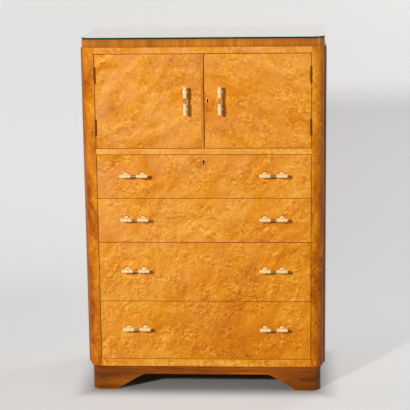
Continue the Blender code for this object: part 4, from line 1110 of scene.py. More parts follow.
def cream_material(name):
    """Glossy cream plastic with a faint swirl and fine dark specks."""
    surface, web, shader, place = new_material(name)
    swirl = web.range(web.noise(place, *CREAM_SWIRL), *SWIRL_RANGE)
    fine = web.noise(place, *CREAM_DIRT)
    swirled = web.mix(swirl, colour("cream"), colour("cream_deep"))
    soiled = web.mix(web.range(fine, *DIRT_RANGE), swirled, colour("maple_deep"))
    surfaced(web, shader, soiled, web.range(fine, *CREAM_GLOSS), fine, *CREAM_BUMP)
    varnish(shader, *CREAM_COAT)
    set_shader(shader, Subsurface_Weight=0.1, Subsurface_Radius=CREAM_GLOW, Subsurface_Scale=0.002)
    return surface


def metal_material(name, tarnish, low, high, pits=0.2, metallic=1.0):
    """A metal with cloudy tarnish, fine pits and a varying gloss."""
    surface, web, shader, place = new_material(name)
    cloud = web.noise(place, *TARNISH)
    fine = web.noise(place, *PITS)
    tarnished = web.mix(web.range(cloud, *TARNISH_RANGE), colour(name), colour(name, tarnish))
    roughness = web.total(web.range(cloud, *MIDDLE_RANGE, low, high), web.range(fine, *PIT_RANGE))
    surfaced(web, shader, tarnished, roughness, fine, pits, PIT_DEPTH)
    set_shader(shader, Metallic=metallic)
    return surface


def glass_material(name):
    """Clear plate glass with faint dust and wiping marks."""
    surface, web, shader, place = new_material(name)
    set_shader(shader, Base_Color=CLEAR_GLASS, Transmission_Weight=1.0, IOR=GLASS_IOR)
    set_shader(shader, Coat_Weight=1.0, Coat_Roughness=0.03)
    wipes = web.noise(web.stretched(place, 1.0, 0.2, 1.0), *WIPES)
    dust = web.noise(place, *DUST)
    marks = web.total(web.range(wipes, *WIPE_MARKS), web.range(dust, *DUST_MARKS))
    web.feed(shader.inputs["Roughness"], marks)
    return surface


def glass_edge_material(name, low, high):
    """The green of a plate's ground edge, and a pale painted highlight for its polished arris."""
    surface, web, shader, place = new_material(name)
    ground = web.noise(web.stretched(place, 1.0, 1.0, 0.1), *GROUND_EDGE)
    green = web.mix(web.range(ground, *GREEN_RANGE), colour(name, 0.8), colour(name, 1.15))
    surfaced(web, shader, green, web.range(ground, *MIDDLE_RANGE, low, high))
    varnish(shader, *EDGE_COAT)
    return surface


def dark_hollow_material(name):
    """The unlit inside of a keyhole."""
    surface, web, shader, place = new_material(name)
    grit = web.noise(place, *GRIT)
    surfaced(web, shader, web.mix(grit, HOLLOW_BLACK, HOLLOW_BROWN), web.range(grit, *GRIT_GLOSS))
    set_shader(shader, Specular_IOR_Level=0.05)
    return surface


# Turns that bring the grain upright, across the chest and from its front to its back
UPRIGHT = (0, 0, 0)
LYING = (0, 90, 0)
FRONT_TO_BACK = (90, 0, 0)

# Deep and light tones of the woods, each a colour's name and a share of its brightness
# The dark edges' tones stand for painted shade
EDGE_SHADE = (("stained_deep",), ("stained_light",))
EASED = (("maple_deep",), ("maple_honey",))
WALNUT = (("walnut_deep",), ("walnut_light",))
EDGE = (("edge_brown", 0.6), ("edge_brown",))
PLY = (("ply_deep",), ("ply_light",))
BEECH = (("beech_deep",), ("beech_light",))

# Each finish's maker, and the values that it passes after the name, in the maker's order
FINISHES = {
    maple_material: {
        "door_left_maple": ((1.3, 0.2, 0.7), 0, -40, 0.7, 1.0, 0.55, 0.4, 0.04),
        "door_right_maple": ((4.1, 0.9, 2.2), 0, -84, 0.45, 0.7, 0.5, 0.5, 0.02),
        "door_back_maple": ((28.0, 8.1, 3.3), 0, -12, 0.25, 0.3, 0.3, 0.1, 0.1),
        "upper_drawers_maple": ((7.7, 1.6, 3.9), 0, -34, 0.6, 0.8, 0.8, 0.42, 0.07),
        "lower_drawers_maple": ((9.2, 2.8, 5.4), 0, -20, 0.6, 0.7, 0.85, 0.42, 0.0),
        "post_maple": ((12.5, 3.3, 1.4), 90, -70, 0.6, 1.5, 0.7, 0.35, 0.08, 0.55, 0.04, 0.1),
        "top_rail_maple": ((15.0, 4.4, 6.6), 90, 0, 0.3, 0.8, 0.7, 0.2, 0.06),
        "middle_rail_maple": ((15.7, 4.9, 7.3), 90, 0, 0.3, 0.9, 0.7, 0.2, 0.30),
        "bottom_rail_maple": ((16.4, 5.3, 8.1), 90, 0, 0.3, 0.8, 0.7, 0.2, 0.19),
        "bead_maple": ((17.0, 5.0, 6.0), 0, 0, 0.2, 0.6, 0.8, 0.3, -0.2),
        "side_maple": ((20.3, 6.1, 8.8), 0, -34, 0.5, 0.8, 0.5, 0.4, 0.06, 0.1, 0.12),
        "top_maple": ((24.0, 7.2, 9.9), 0, -30, 0.5, 1.0, 0.9, 0.5, -0.05),
    },
    wood_material: {
        "stained_edge": (EDGE_SHADE, LYING, 30.0, 400.0, 0.4, 0, 0.9, (2, 4, 6), 0.2),
        "eased_edge": (EASED, LYING, 30.0, 400.0, 0.4, 0, 0.9, (4, 1, 3), 0.2),
        "walnut": (WALNUT, LYING, 34.0, 420.0, 0.6, 0.12, 1.15, (0, 0, 0), 0.0, 0.32),
        "side_walnut": (WALNUT, FRONT_TO_BACK, 34.0, 420.0, 0.6, 0.12, 1.15),
        "side_edge": (EDGE, UPRIGHT, 40.0, 420.0, 0.4, 0.1, 1.0),
        "plywood": (PLY, UPRIGHT, 26.0, 300.0, 0.3, 0, 0.8, (3, 1, 2), 0.15),
        "lying_plywood": (PLY, LYING, 26.0, 300.0, 0.3, 0, 0.8, (5, 2, 1), 0.15),
        "beech": (BEECH, LYING, 34.0, 420.0, 0.5, 0, 0.8, (7, 3, 2), 0.12),
        "side_beech": (BEECH, FRONT_TO_BACK, 34.0, 420.0, 0.5, 0, 0.8, (1, 6, 2), 0.12),
    },
    metal_material: {
        "worn_rod": (0.5, 0.26, 0.4),
        "worn_rim": (0.6, 0.25, 0.4),
        "pale_plate": (0.8, 0.38, 0.5, 0.15, 0.3),
        "rose_brass": (0.8, 0.5, 0.62, 0.15, 0.6),
        "bronze": (0.6, 0.34, 0.5),
        "brass": (0.72, 0.42, 0.56),
        "steel": (0.6, 0.3, 0.45),
    },
    glass_edge_material: {"glass_edge": (0.10, 0.2), "glass_line": (0.08, 0.15)},
    glass_material: {"glass": ()},
    crossband_material: {"crossband": ()},
    cream_material: {"cream": ()},
    dark_hollow_material: {"dark_hollow": ()},
}
MATERIALS = {}


def material(name):
    """A finish by name, built once."""
    if name not in MATERIALS:
        maker = next(maker for maker, table in FINISHES.items() if name in table)
        MATERIALS[name] = maker(name, *FINISHES[maker][name])
    return MATERIALS[name]


# Crown and glass

def corner_block(name, low, high, radius, steps):
    """A board whose two front corners are rounded in plan."""
    item = add_block(name, low, high)
    return round_edges(item, lambda edge: lies(edge, y=low.y) and shares(edge, "x"), radius, steps)


def along_edge(point, radius, centre_y):
    """The distance along a crown's edge from its middle, for any point near that edge."""
    side = math.copysign(1, point.x)
    across = abs(point.x)
    if across > OPENING_HALF and point.y < centre_y:
        angle = math.atan2(across - OPENING_HALF, centre_y - point.y)
        return side * (OPENING_HALF + radius * angle)
    if across > OPENING_HALF:
        return side * (OPENING_HALF + radius * QUARTER_TURN + point.y - centre_y)
    return point.x


def edge_depth(point, radius, low, high):
    """How far a point lies inside a crown's edge."""
    centre_y = low.y + radius
    across = abs(point.x)
    if across > OPENING_HALF and point.y < centre_y:
        return radius - math.hypot(across - OPENING_HALF, centre_y - point.y)
    return min(high.x - across, point.y - low.y)


class TALLBOY_OT_glass_top(bpy.types.Operator):
    """Make the plate of glass with its green edge and a painted highlight on its polished arrises"""

    bl_idname = "tallboy.glass_top"
    bl_label = "Glass Top"

    def execute(self, context):
        sizes = context.scene.tallboy_sizes
        low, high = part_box("glass_top")
        glass = corner_block("glass_plate", low, high, high.x - OPENING_HALF, sizes.corner_steps)
        round_edges(glass, lambda edge: lies(edge, z=high.z), sizes.glass_arris, FINE_STEPS)
        smooth(glass, BROAD_ANGLE)
        paint(
            glass, "glass",
            ("glass_line", lambda face: abs(face.normal.z) < LEVEL_FACING),
            ("glass_edge", lambda face: abs(face.normal.z) < UPRIGHT_FACING),
        )
        glass.visible_shadow = False
        finish_piece(glass, "carcase", "plate_glass", "glass_top")
        return {"FINISHED"}


class TALLBOY_OT_crown(bpy.types.Operator):
    """Make the crown board with its crossbanded edge and border"""

    bl_idname = "tallboy.crown"
    bl_label = "Crown"

    def execute(self, context):
        sizes = context.scene.tallboy_sizes
        low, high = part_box("top_board")
        radius = high.x - OPENING_HALF
        crown = corner_block("crown_board", low, high, radius, sizes.corner_steps)
        round_edges(crown, lambda edge: lies(edge, z=high.z), sizes.soft_edge, SOFT_STEPS)
        round_edges(crown, lambda edge: lies(edge, z=low.z), sizes.arris, EDGE_STEPS)
        pick(crown, "FACE", facing("z", 1, LEVEL_FACING))
        bpy.ops.mesh.inset(thickness=sizes.crossband_width, depth=0)
        leave()
        mark(crown, "along_edge", lambda point: along_edge(point, radius, low.y + radius))
        mark(crown, "from_edge", lambda point: edge_depth(point, radius, low, high))
        border = sizes.crossband_width
        rounding = high.z - sizes.soft_edge

        def in_field(face):
            return abs(face.normal.z) > LEVEL_FACING and edge_depth(face.center, radius, low, high) > border

        # Painted shadow: the rounded rim under the glass is painted dark
        def on_rim(face):
            return face.center.z > rounding and face.normal.z < NEARLY_LEVEL

        paint(crown, "crossband", ("top_maple", in_field), ("stained_edge", on_rim))
        smooth(crown, BROAD_ANGLE)
        finish_piece(crown, "carcase", "crossband", "top_board")
        return {"FINISHED"}


# Carcase

class TALLBOY_OT_posts(bpy.types.Operator):
    """Make the two quarter-round corner posts, cut for the side boards and the hinges"""

    bl_idname = "tallboy.posts"
    bl_label = "Corner Posts"

    def execute(self, context):
        sizes = context.scene.tallboy_sizes
        low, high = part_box("corner_post_right")
        width = POST_HALF - OPENING_HALF
        post = add_block("post_right", low, high)
        round_edges(post, lambda edge: lies(edge, x=high.x, y=low.y), width, sizes.corner_steps)
        side_low, side_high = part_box("side_right")
        gap = Vector((FIT_GAP, FIT_GAP, -OVERRUN))
        cutters = [add_block("side_room", side_low - gap, side_high + gap)]
        for level in ("upper", "lower"):
            leaf_low, leaf_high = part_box("hinge_right_" + level + "_post_leaf")
            pocket_low = (OPENING_HALF - OVERRUN, low.y - OVERRUN, leaf_low.z)
            cutters.append(add_block("leaf_room", pocket_low, leaf_high + Vector((FIT_GAP, FIT_GAP, 0))))
        boolean(post, cutters)
        smooth(post, BROAD_ANGLE)
        # Painted shade: deeper towards the post's outer side, where its round turns from the light
        mark(post, "toned", lambda point: sizes.post_toning * (max(0.0, point.x - OPENING_HALF) / width) ** 2)
        # The post's face towards the doors lies in the gap and is painted dark as painted shade
        paint(post, "post_maple", ("stained_edge", facing("x", -1)))
        twin = mirrored(own_copy(post, "post_left"))
        # Painted shade: the left-hand post is painted deeper all over
        for value in twin.data.attributes["toned"].data:
            value.value += sizes.left_post_toning
        finish_piece(post, "carcase", "maple", "corner_post_right")
        finish_piece(twin, "carcase", "maple", "corner_post_left")
        return {"FINISHED"}


class TALLBOY_OT_side_boards(bpy.types.Operator):
    """Make the two side boards with their rounded solid edges"""

    bl_idname = "tallboy.side_boards"
    bl_label = "Side Boards"

    def execute(self, context):
        sizes = context.scene.tallboy_sizes
        low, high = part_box("side_right")
        board = add_block("side_board_right", low, high)

        def outer_edge(edge):
            return lies(edge, x=high.x) and not lies(edge, y=high.y)

        round_edges(board, outer_edge, high.x - POST_HALF, sizes.corner_steps // 3)
        back_low, back_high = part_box("back_panel")
        rebate_low = back_low - Vector((0, FIT_GAP, OVERRUN))
        rebate_high = back_high + Vector((FIT_GAP, OVERRUN, OVERRUN))
        cutters = [add_block("back_room", rebate_low, rebate_high)]
        cutters += [merged_copy(node, "board_room") for node in INSIDE_BOARDS]
        boolean(board, cutters)
        smooth(board, SMALL_ANGLE)

        def solid_edge(face):
            return abs(face.normal.x) < FACING or face.center.y < low.y + SIDE_EDGE_DEPTH

        twin = mirrored(own_copy(board, "side_board_left"))
        for item, node in ((board, "side_right"), (twin, "side_left")):
            paint(item, "side_maple", ("side_edge", solid_edge))
            finish_piece(item, "carcase", "maple", node)
        return {"FINISHED"}


def along_front(edge):
    """True for an edge that runs level along the front."""
    return lies(edge, y=FRONT_Y) and shares(edge, "z")


class TALLBOY_OT_rails(bpy.types.Operator):
    """Make the rails between the posts, with their edges eased"""

    bl_idname = "tallboy.rails"
    bl_label = "Front Rails"

    def execute(self, context):
        sizes = context.scene.tallboy_sizes
        for node in ("top_rail", "middle_rail", "bottom_rail"):
            rail = merged_copy(node, node.replace("_rail", "_front_rail"))
            round_edges(rail, along_front, sizes.arris, EDGE_STEPS)
            smooth(rail)
            # Painted shade: the rail's underside is painted dark, its top keeps the plain eased maple
            paint(rail, node + "_maple", ("stained_edge", facing("z", -1)), ("eased_edge", facing("z", 1)))
            finish_piece(rail, "carcase", "maple", node)
        return {"FINISHED"}


def slotted_screw(name, radius, rise, slot=SCREW_SLOT, sides=SCREW_SIDES):
    """A screw's slotted, domed head, standing up along +Z from the origin."""
    dome = [(radius * wide, rise * up) for wide, up in SCREW_DOME]
    head = turned(name, dome, "Z", (0, 0, 0), sides)
    bottom = rise * SCREW_SLOT_DEPTH
    cutter = add_block("slot", (-radius * 2, -slot / 2, bottom), (radius * 2, slot / 2, rise * 2))
    return boolean(head, [cutter])


def joined(items, name):
    """Several small like pieces as one."""
    object_mode()
    for item in items:
        item.select_set(True)
    bpy.context.view_layer.objects.active = items[0]
    bpy.ops.object.join()
    return named(bpy.context.object, name)


def placed_screws(name, pattern, places):
    """Copies of a screw head at (place, direction, slot angle), joined to one smooth piece."""
    copies = []
    for place, direction, angle in places:
        turn = Vector(direction).to_track_quat("Z", "Y").to_matrix().to_4x4()
        spin = Matrix.Rotation(angle, 4, "Z")
        copies.append(moved(own_copy(pattern, name), Matrix.Translation(place) @ turn @ spin))
    return smooth(joined(copies, name))


def make_back_screws():
    """Slotted screws round the back panel, into the sides and the boards."""
    low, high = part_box("back_panel")
    pattern = slotted_screw("back_screw", BACK_SCREW_RADIUS, BACK_SCREW_RISE)
    first = low.z + BACK_SCREW_INSET * 2
    last = high.z - BACK_SCREW_INSET * 2
    spots = []
    for row in range(SCREW_ROWS):
        height = first + (high.z - low.z - BACK_SCREW_INSET * 4) * row / (SCREW_ROWS - 1)
        spots += [(x, height) for x in (low.x + BACK_SCREW_INSET, high.x - BACK_SCREW_INSET)]
    for column in range(1, SCREW_COLUMNS - 1):
        x = low.x + (high.x - low.x) * column / (SCREW_COLUMNS - 1)
        spots += [(x, first), (x, last)]
    depth = high.y - BACK_SCREW_RISE
    places = [((x, depth, z), (0, 1, 0), number * BACK_SCREW_SPIN) for number, (x, z) in enumerate(spots)]
    screws = placed_screws("back_screws", pattern, places)
    bpy.data.objects.remove(pattern)
    finish_piece(paint(screws, "steel"), "carcase", "brass")


class TALLBOY_OT_inside_boards(bpy.types.Operator):
    """Finish the back, the shelf and the boards inside, with the back's screws"""

    bl_idname = "tallboy.inside_boards"
    bl_label = "Inside Boards"

    def execute(self, context):
        sizes = context.scene.tallboy_sizes
        shelf = merged_copy("shelf", "cupboard_shelf")
        low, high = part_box("shelf")
        round_edges(shelf, lambda edge: lies(edge, y=low.y), sizes.soft_edge, EDGE_STEPS)
        finish_piece(paint(smooth(shelf), "top_rail_maple"), "carcase", "maple", "shelf")
        dress_nodes("lying_plywood", "cupboard_floor")
        dress_nodes("beech", "carcase_bottom", *DRAWER_BOARDS)
        dress_nodes("plywood", "back_panel")
        make_back_screws()
        return {"FINISHED"}


# Plinth

def arch_cutter(half_span, slope_run, near_y, far_y, sizes):
    """A bracket arch along X: level in the middle, then a filleted slope and a steep knee to each foot."""
    height = sizes.arch_height
    slope_rise = height - sizes.knee_rise
    level_half = half_span - sizes.knee_run - slope_run
    item = add_block("arch", (-level_half, near_y, -OVERRUN), (level_half, far_y, height))
    for side in SIDES.values():
        reach = level_half
        for run, lower in ((slope_run, slope_rise), (sizes.knee_run, sizes.knee_rise)):
            pick(item, "FACE", lambda face: near(face.calc_center_median().x, side * reach))
            bpy.ops.mesh.extrude_region_move(TRANSFORM_OT_translate={"value": (side * run, 0, 0)})
            leave()
            reach += run
            pick(item, "VERT", lambda vert: near(vert.co.x, side * reach) and vert.co.z > -OVERRUN / 2)
            bpy.ops.transform.translate(value=(0, 0, -lower))
            leave()

    def shoulder(edge):
        return lies(edge, z=height) and (lies(edge, x=level_half) or lies(edge, x=-level_half))

    tangent = sizes.arch_fillet * math.tan(math.atan2(slope_rise, slope_run) / 2)
    return round_edges(item, shoulder, tangent, ARCH_STEPS)


def soften_plinth(item, sizes):
    """Ease the top edge of a plinth board and shade it."""
    top = max(vertex.co.z for vertex in item.data.vertices)
    round_edges(item, lambda edge: lies(edge, z=top), sizes.arris, FINE_STEPS)
    return smooth(item, BROAD_ANGLE)


class TALLBOY_OT_plinth(bpy.types.Operator):
    """Make the plinth's front with its bracket arch and round corners, and its arched sides"""

    bl_idname = "tallboy.plinth"
    bl_label = "Plinth"

    def execute(self, context):
        sizes = context.scene.tallboy_sizes
        low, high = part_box("plinth_front")
        front = corner_block("plinth_front_board", low, high, high.x - OPENING_HALF, sizes.corner_steps)
        inner = high.x - sizes.block_width
        board_back = low.y + sizes.plinth_thickness
        behind = high.y + OVERRUN
        recess = add_block("recess", (-inner, board_back, low.z - OVERRUN), (inner, behind, high.z + OVERRUN))
        half_span = high.x - sizes.foot_length
        boolean(front, [recess, arch_cutter(half_span, sizes.slope_run, low.y - OVERRUN, behind, sizes)])
        finish_piece(paint(soften_plinth(front, sizes), "walnut"), "carcase", "walnut", "plinth_front")

        side_low, side_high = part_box("plinth_right")
        side = add_block("plinth_side_right", side_low, side_high)
        middle = (low.y + side_high.y) / 2
        half_span = (side_high.y - low.y) / 2 - sizes.foot_length
        slope_run = half_span * sizes.side_slope_share
        arch = arch_cutter(half_span, slope_run, -side_high.x - OVERRUN, OVERRUN - side_low.x, sizes)
        moved(arch, Matrix.Translation((0, middle, 0)) @ Matrix.Rotation(QUARTER_TURN, 4, "Z"))
        paint(soften_plinth(boolean(side, [arch]), sizes), "side_walnut")
        twin = mirrored(own_copy(side, "plinth_side_left"))
        finish_piece(side, "carcase", "walnut", "plinth_right")
        finish_piece(twin, "carcase", "walnut", "plinth_left")
        dress_nodes("walnut", "plinth_back")
        return {"FINISHED"}


# Doors

def front_arrises(item, width, low, high):
    """Ease the four outer edges of a door's or a drawer's front face."""

    def outer(edge):
        at_side = lies(edge, x=low.x) or lies(edge, x=high.x)
        return lies(edge, y=FRONT_Y) and (at_side or lies(edge, z=low.z) or lies(edge, z=high.z))

    return round_edges(item, outer, width, FINE_STEPS)


def behind_front(sizes):
    """A test for the faces behind a front's arrises."""
    return lambda face: face.center.y > FRONT_Y + sizes.arris * 2


class TALLBOY_OT_doors(bpy.types.Operator):
    """Make the veneered doors and the bead along their meeting edge"""

    bl_idname = "tallboy.doors"
    bl_label = "Doors"

    def execute(self, context):
        sizes = context.scene.tallboy_sizes
        for side in SIDES:
            door = "door_" + side
            low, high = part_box(door + "_panel")
            panel = merged_copy(door + "_panel", door + "_leaf")
            front_arrises(panel, sizes.arris, low, high)
            back = ("door_back_maple", facing("y", 1, BACK_FACING))
            # The door's edges lie in the gaps and are painted dark as painted shade
            paint(smooth(panel), door + "_maple", ("stained_edge", behind_front(sizes)), back)
            finish_piece(panel, door, "maple", door + "_panel")
        bead = smooth(merged_copy("door_left_bead", "door_meeting_bead"), BROAD_ANGLE)
        low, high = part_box("door_left_bead")

        # Painted shade: the bead is deeper towards its edges, most on its right-hand side, away from the
        # light
        def toning(point):
            out = (point.x * 2 - low.x - high.x) / (high.x - low.x)
            return sizes.bead_toning * (out ** 2 if out > 0 else out ** 4 / 2)

        mark(bead, "toned", toning)
        # The bead's sides lie in the gap and are painted dark as painted shade
        paint(bead, "bead_maple", ("stained_edge", lambda face: abs(face.normal.x) > FACING))
        finish_piece(bead, "door_left", "maple", "door_left_bead")
        return {"FINISHED"}


# Hinges

def make_hinge_leaf(side, level, leaf, pattern, sizes):
    """One brown leaf of a butt hinge, on its frame or its door, with its screws."""
    sign = SIDES[side]
    node = "_".join(("hinge", side, level, leaf, "leaf"))
    name = "_".join((side, level, leaf, "hinge"))
    body = "door_" + side if leaf == "door" else "carcase"
    piece = paint(smooth(merged_copy(node, name + "_leaf"), SMALL_ANGLE), "bronze")
    finish_piece(piece, body, "bronze", node)
    low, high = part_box(node)
    face_x = max(abs(low.x), abs(high.x)) - sizes.leaf_thickness
    towards = -sign
    if leaf == "door":
        face_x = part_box("door_right_panel")[1].x - sizes.leaf_inlet + FIT_GAP + sizes.leaf_thickness
        towards = sign
    places = []
    for number in range(HINGE_SCREWS):
        share = (number + 0.5) / HINGE_SCREWS
        spot = (sign * face_x, high.y - sizes.hinge_screw_inset, low.z + (high.z - low.z) * share)
        places.append((spot, (towards, 0, 0), number * HINGE_SCREW_SPIN + share))
    finish_piece(paint(placed_screws(name + "_screws", pattern, places), "bronze"), body, "bronze")


class TALLBOY_OT_hinges(bpy.types.Operator):
    """Make the brown butt hinges with their slotted screws"""

    bl_idname = "tallboy.hinges"
    bl_label = "Hinges"

    def execute(self, context):
        sizes = context.scene.tallboy_sizes
        pattern = slotted_screw("hinge_screw", sizes.hinge_screw_radius, sizes.hinge_screw_rise)
        for side in SIDES:
            for level in ("upper", "lower"):
                for leaf in ("post", "door"):
                    make_hinge_leaf(side, level, leaf, pattern, sizes)
        bpy.data.objects.remove(pattern)
        return {"FINISHED"}


# Bar handles

def bracket_x(sizes):
    """A bracket's distance from the middle of its bar."""
    return (sizes.bar_gap + sizes.tube_length) / 2


def bar_tube(sizes):
    """The right-hand cream tube, rounded at its outer end and bored for the rod."""
    start = sizes.bar_gap / 2
    end = start + sizes.tube_length
    radius = sizes.tube_radius
    rounding = radius * TUBE_ROUNDING
    mouth = rounding * TUBE_MOUTH
    bore = sizes.rod_radius + FIT_GAP
    profile = [(bore, end - sizes.tube_length * TUBE_BORE_DEPTH), (bore, start + rounding * TUBE_BORE_MOUTH)]
    profile += [(bore + mouth, start), (radius - mouth, start), (radius, start + mouth)]
    for step in range(TUBE_END_STEPS + 1):
        angle = QUARTER_TURN * step / TUBE_END_STEPS
        profile.append((radius - rounding * (1 - math.cos(angle)), end - rounding * (1 - math.sin(angle))))
    return smooth(turned("cream_tube", profile, "X", (0, -sizes.standoff, 0), ROUND_SIDES), TUBE_ANGLE)


def bar_rod(sizes):
    """The plated rod between the tubes, seated in their bores."""
    reach = sizes.bar_gap / 2 + sizes.tube_length * ROD_SEAT
    profile = rounded_rod(sizes.rod_radius, reach, sizes.rod_radius * ROD_ROUNDING)
    return smooth(turned("plated_rod", profile, "X", (0, -sizes.standoff, 0), ROUND_SIDES))


def bracket(sizes):
    """The right-hand bracket: a ring round the tube on a neck that flares to its foot."""
    half = sizes.ring_width / 2
    centre = (bracket_x(sizes), -sizes.standoff, 0)
    ring_profile = rounded_rod(sizes.ring_radius, half, sizes.ring_width * RING_ROUNDING)
    ring = turned("bracket", ring_profile, "X", centre, ROUND_SIDES)
    foot_y = sizes.rosette_thickness
    foot = sizes.foot_radius
    profile = [(foot - FIT_GAP, foot_y), (foot, foot_y + FIT_GAP)]
    profile.append((foot, foot_y + sizes.foot_flare * FOOT_RIM))
    for step in range(1, FLARE_STEPS + 1):
        angle = QUARTER_TURN * step / FLARE_STEPS
        spread = (foot - sizes.neck_radius) * (1 - math.sin(angle))
        rise = FOOT_RIM + (1 - FOOT_RIM) * (1 - math.cos(angle))
        profile.append((sizes.neck_radius + spread, foot_y + sizes.foot_flare * rise))
    profile.append((sizes.neck_radius, sizes.standoff))
    neck = turned("neck", towards_front(profile), "Y", (bracket_x(sizes), 0, 0), ROUND_SIDES)
    boolean(ring, [neck], "UNION")
    bore_radius = sizes.tube_radius + THIN_GAP
    bore = turned("bore", [(bore_radius, -half * 2), (bore_radius, half * 2)], "X", centre, ROUND_SIDES)
    return smooth(boolean(ring, [bore]), SMALL_ANGLE)


def rosette(sizes):
    """The right-hand plated rosette: a rim darkened as painted shade, a groove and a crown made pale by a
    painted reflection, under the bracket's foot.
    """
    middle = bracket_x(sizes)
    radius = sizes.rosette_radius
    profile = [(radius * wide, sizes.rosette_thickness * up) for wide, up in ROSETTE_PROFILE]
    item = turned("rosette", towards_front(profile), "Y", (middle, 0, 0), ROUND_SIDES)

    def in_crown(face):
        inside = math.hypot(face.center.x - middle, face.center.z) < radius * ROSETTE_CROWN
        return inside and face.center.y < -FIT_GAP

    return smooth(paint(item, "worn_rim", ("pale_plate", in_crown)), SMALL_ANGLE)


def handle_screw(sizes):
    """The right-hand screw's domed and slotted head, on the back of the wood at Y = 0."""
    radius = sizes.screw_head_radius
    rise = sizes.screw_head_height
    head = slotted_screw("handle_screw", radius, rise, HANDLE_SCREW_SLOT, HANDLE_SCREW_SIDES)
    moved(head, Matrix.Translation((bracket_x(sizes), 0, 0)) @ Matrix.Rotation(-QUARTER_TURN, 4, "X"))
    return smooth(head, SMALL_ANGLE)


def make_handle(node, body, count, patterns, sizes):
    """One handle from copies of its patterns, upright on a door and level on a drawer."""
    low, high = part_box(node)
    middle = (low + high) / 2
    place = Matrix.Translation((middle.x, FRONT_Y, middle.z))
    if high.z - low.z > high.x - low.x:
        place = place @ Matrix.Rotation(QUARTER_TURN, 4, "Y")
    finish_piece(moved(own_copy(patterns["rod"][0], node + "_rod"), place), body, "chrome_metal", node)
    for part in ("tube", "bracket", "rosette", "screw"):
        pattern, slot = patterns[part]
        for end, sign in SIDES.items():
            piece = own_copy(pattern, "_".join((node, part, end)))
            if part == "screw":
                centre = Matrix.Translation((bracket_x(sizes), 0, 0))
                spin = centre @ Matrix.Rotation(count * HANDLE_SCREW_SPIN + sign, 4, "Y") @ centre.inverted()
                moved(piece, Matrix.Translation((0, high.y - FRONT_Y - sizes.screw_head_height, 0)) @ spin)
            if sign < 0:
                mirrored(piece)
            finish_piece(moved(piece, place), body, slot, node)


class TALLBOY_OT_handles(bpy.types.Operator):
    """Make the ten bar handles: cream tubes and brackets, a plated rod, rosettes and screws"""

    bl_idname = "tallboy.handles"
    bl_label = "Bar Handles"

    def execute(self, context):
        sizes = context.scene.tallboy_sizes
        patterns = {
            "tube": (paint(bar_tube(sizes), "cream"), "cream_plastic"),
            "bracket": (paint(bracket(sizes), "cream"), "cream_plastic"),
            "rosette": (rosette(sizes), "chrome_metal"),
            "screw": (paint(handle_screw(sizes), "steel"), "chrome_metal"),
            "rod": (paint(bar_rod(sizes), "worn_rod"), "chrome_metal"),
        }
        nodes = [("door_" + side + "_handle", "door_" + side) for side in SIDES]
        for number in DRAWERS:
            body = "drawer_" + str(number)
            nodes += [(body + "_handle_" + side, body) for side in SIDES]
        for count, (node, body) in enumerate(nodes):
            make_handle(node, body, count, patterns, sizes)
        for pattern, slot in patterns.values():
            bpy.data.objects.remove(pattern)
        return {"FINISHED"}


# Locks

def keyhole_bar(name, start, end, inset, sizes):
    """A bar of a keyhole's outline, drawn in by an inset, from start to end along Y."""
    radius = sizes.keyhole_radius - inset
    half_slot = sizes.keyhole_slot / 2 - inset
    top = sizes.keyhole_height / 2 - sizes.keyhole_radius
    bottom = inset - sizes.keyhole_height / 2
    eye = turned(name, [(radius, start), (radius, end)], "Y", (0, 0, top), KEYHOLE_SIDES)
    return boolean(eye, [add_block("slot", (-half_slot, start, bottom), (half_slot, end, top))], "UNION")


def escutcheon(name, place, sizes):
    """A domed oval plate with a keyhole, let into the wood."""
    radius = sizes.escutcheon_width / 2
    depth = sizes.escutcheon_pocket - THIN_GAP
    profile = [(radius * PLATE_BACK, depth)]
    profile += [(radius * wide, -sizes.escutcheon_rise * up) for wide, up in PLATE_PROFILE]
    plate = turned(name, profile, "Y", (0, 0, 0), OVAL_SIDES)
    moved(plate, Matrix.Diagonal((1, 1, sizes.escutcheon_height / sizes.escutcheon_width, 1)))
    boolean(plate, [keyhole_bar("hole", -OVERRUN, depth + OVERRUN, -sizes.keyhole_flange, sizes)])
    return moved(smooth(plate, SMALL_ANGLE), place)


def keyhole_lining(name, place, sizes):
    """A keyhole's sleeve, near black as painted shade, closed by the lock's works, with a thin flange of the
    same painted shade in its plate.
    """
    sleeve = keyhole_bar(name, 0, sizes.keyhole_depth, THIN_GAP, sizes)
    flange_back = sizes.escutcheon_pocket - THIN_GAP
    flange = keyhole_bar("flange", FIT_GAP, flange_back, THIN_GAP - sizes.keyhole_flange, sizes)
    boolean(sleeve, [flange], "UNION")
    boolean(sleeve, [keyhole_bar("inside", -OVERRUN, sizes.keyhole_depth - FIT_GAP, FIT_GAP, sizes)])
    return moved(smooth(sleeve, SMALL_ANGLE), place)


def case_screws(name, node, body):
    """Four small screws at the corners of the back face of a lock's case."""
    low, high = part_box(node)
    middle = (low + high) / 2
    pattern = slotted_screw("case_screw", CASE_SCREW_RADIUS, CASE_SCREW_RISE)
    places = []
    for number, (across, up) in enumerate(((-1, -1), (1, -1), (-1, 1), (1, 1))):
        x = middle.x + across * ((high.x - low.x) / 2 - CASE_SCREW_INSET)
        z = middle.z + up * ((high.z - low.z) / 2 - CASE_SCREW_INSET)
        places.append(((x, high.y, z), (0, 1, 0), number * CASE_SCREW_SPIN + CASE_SCREW_START))
    screws = placed_screws(name, pattern, places)
    bpy.data.objects.remove(pattern)
    finish_piece(paint(screws, "steel"), body, "brass")


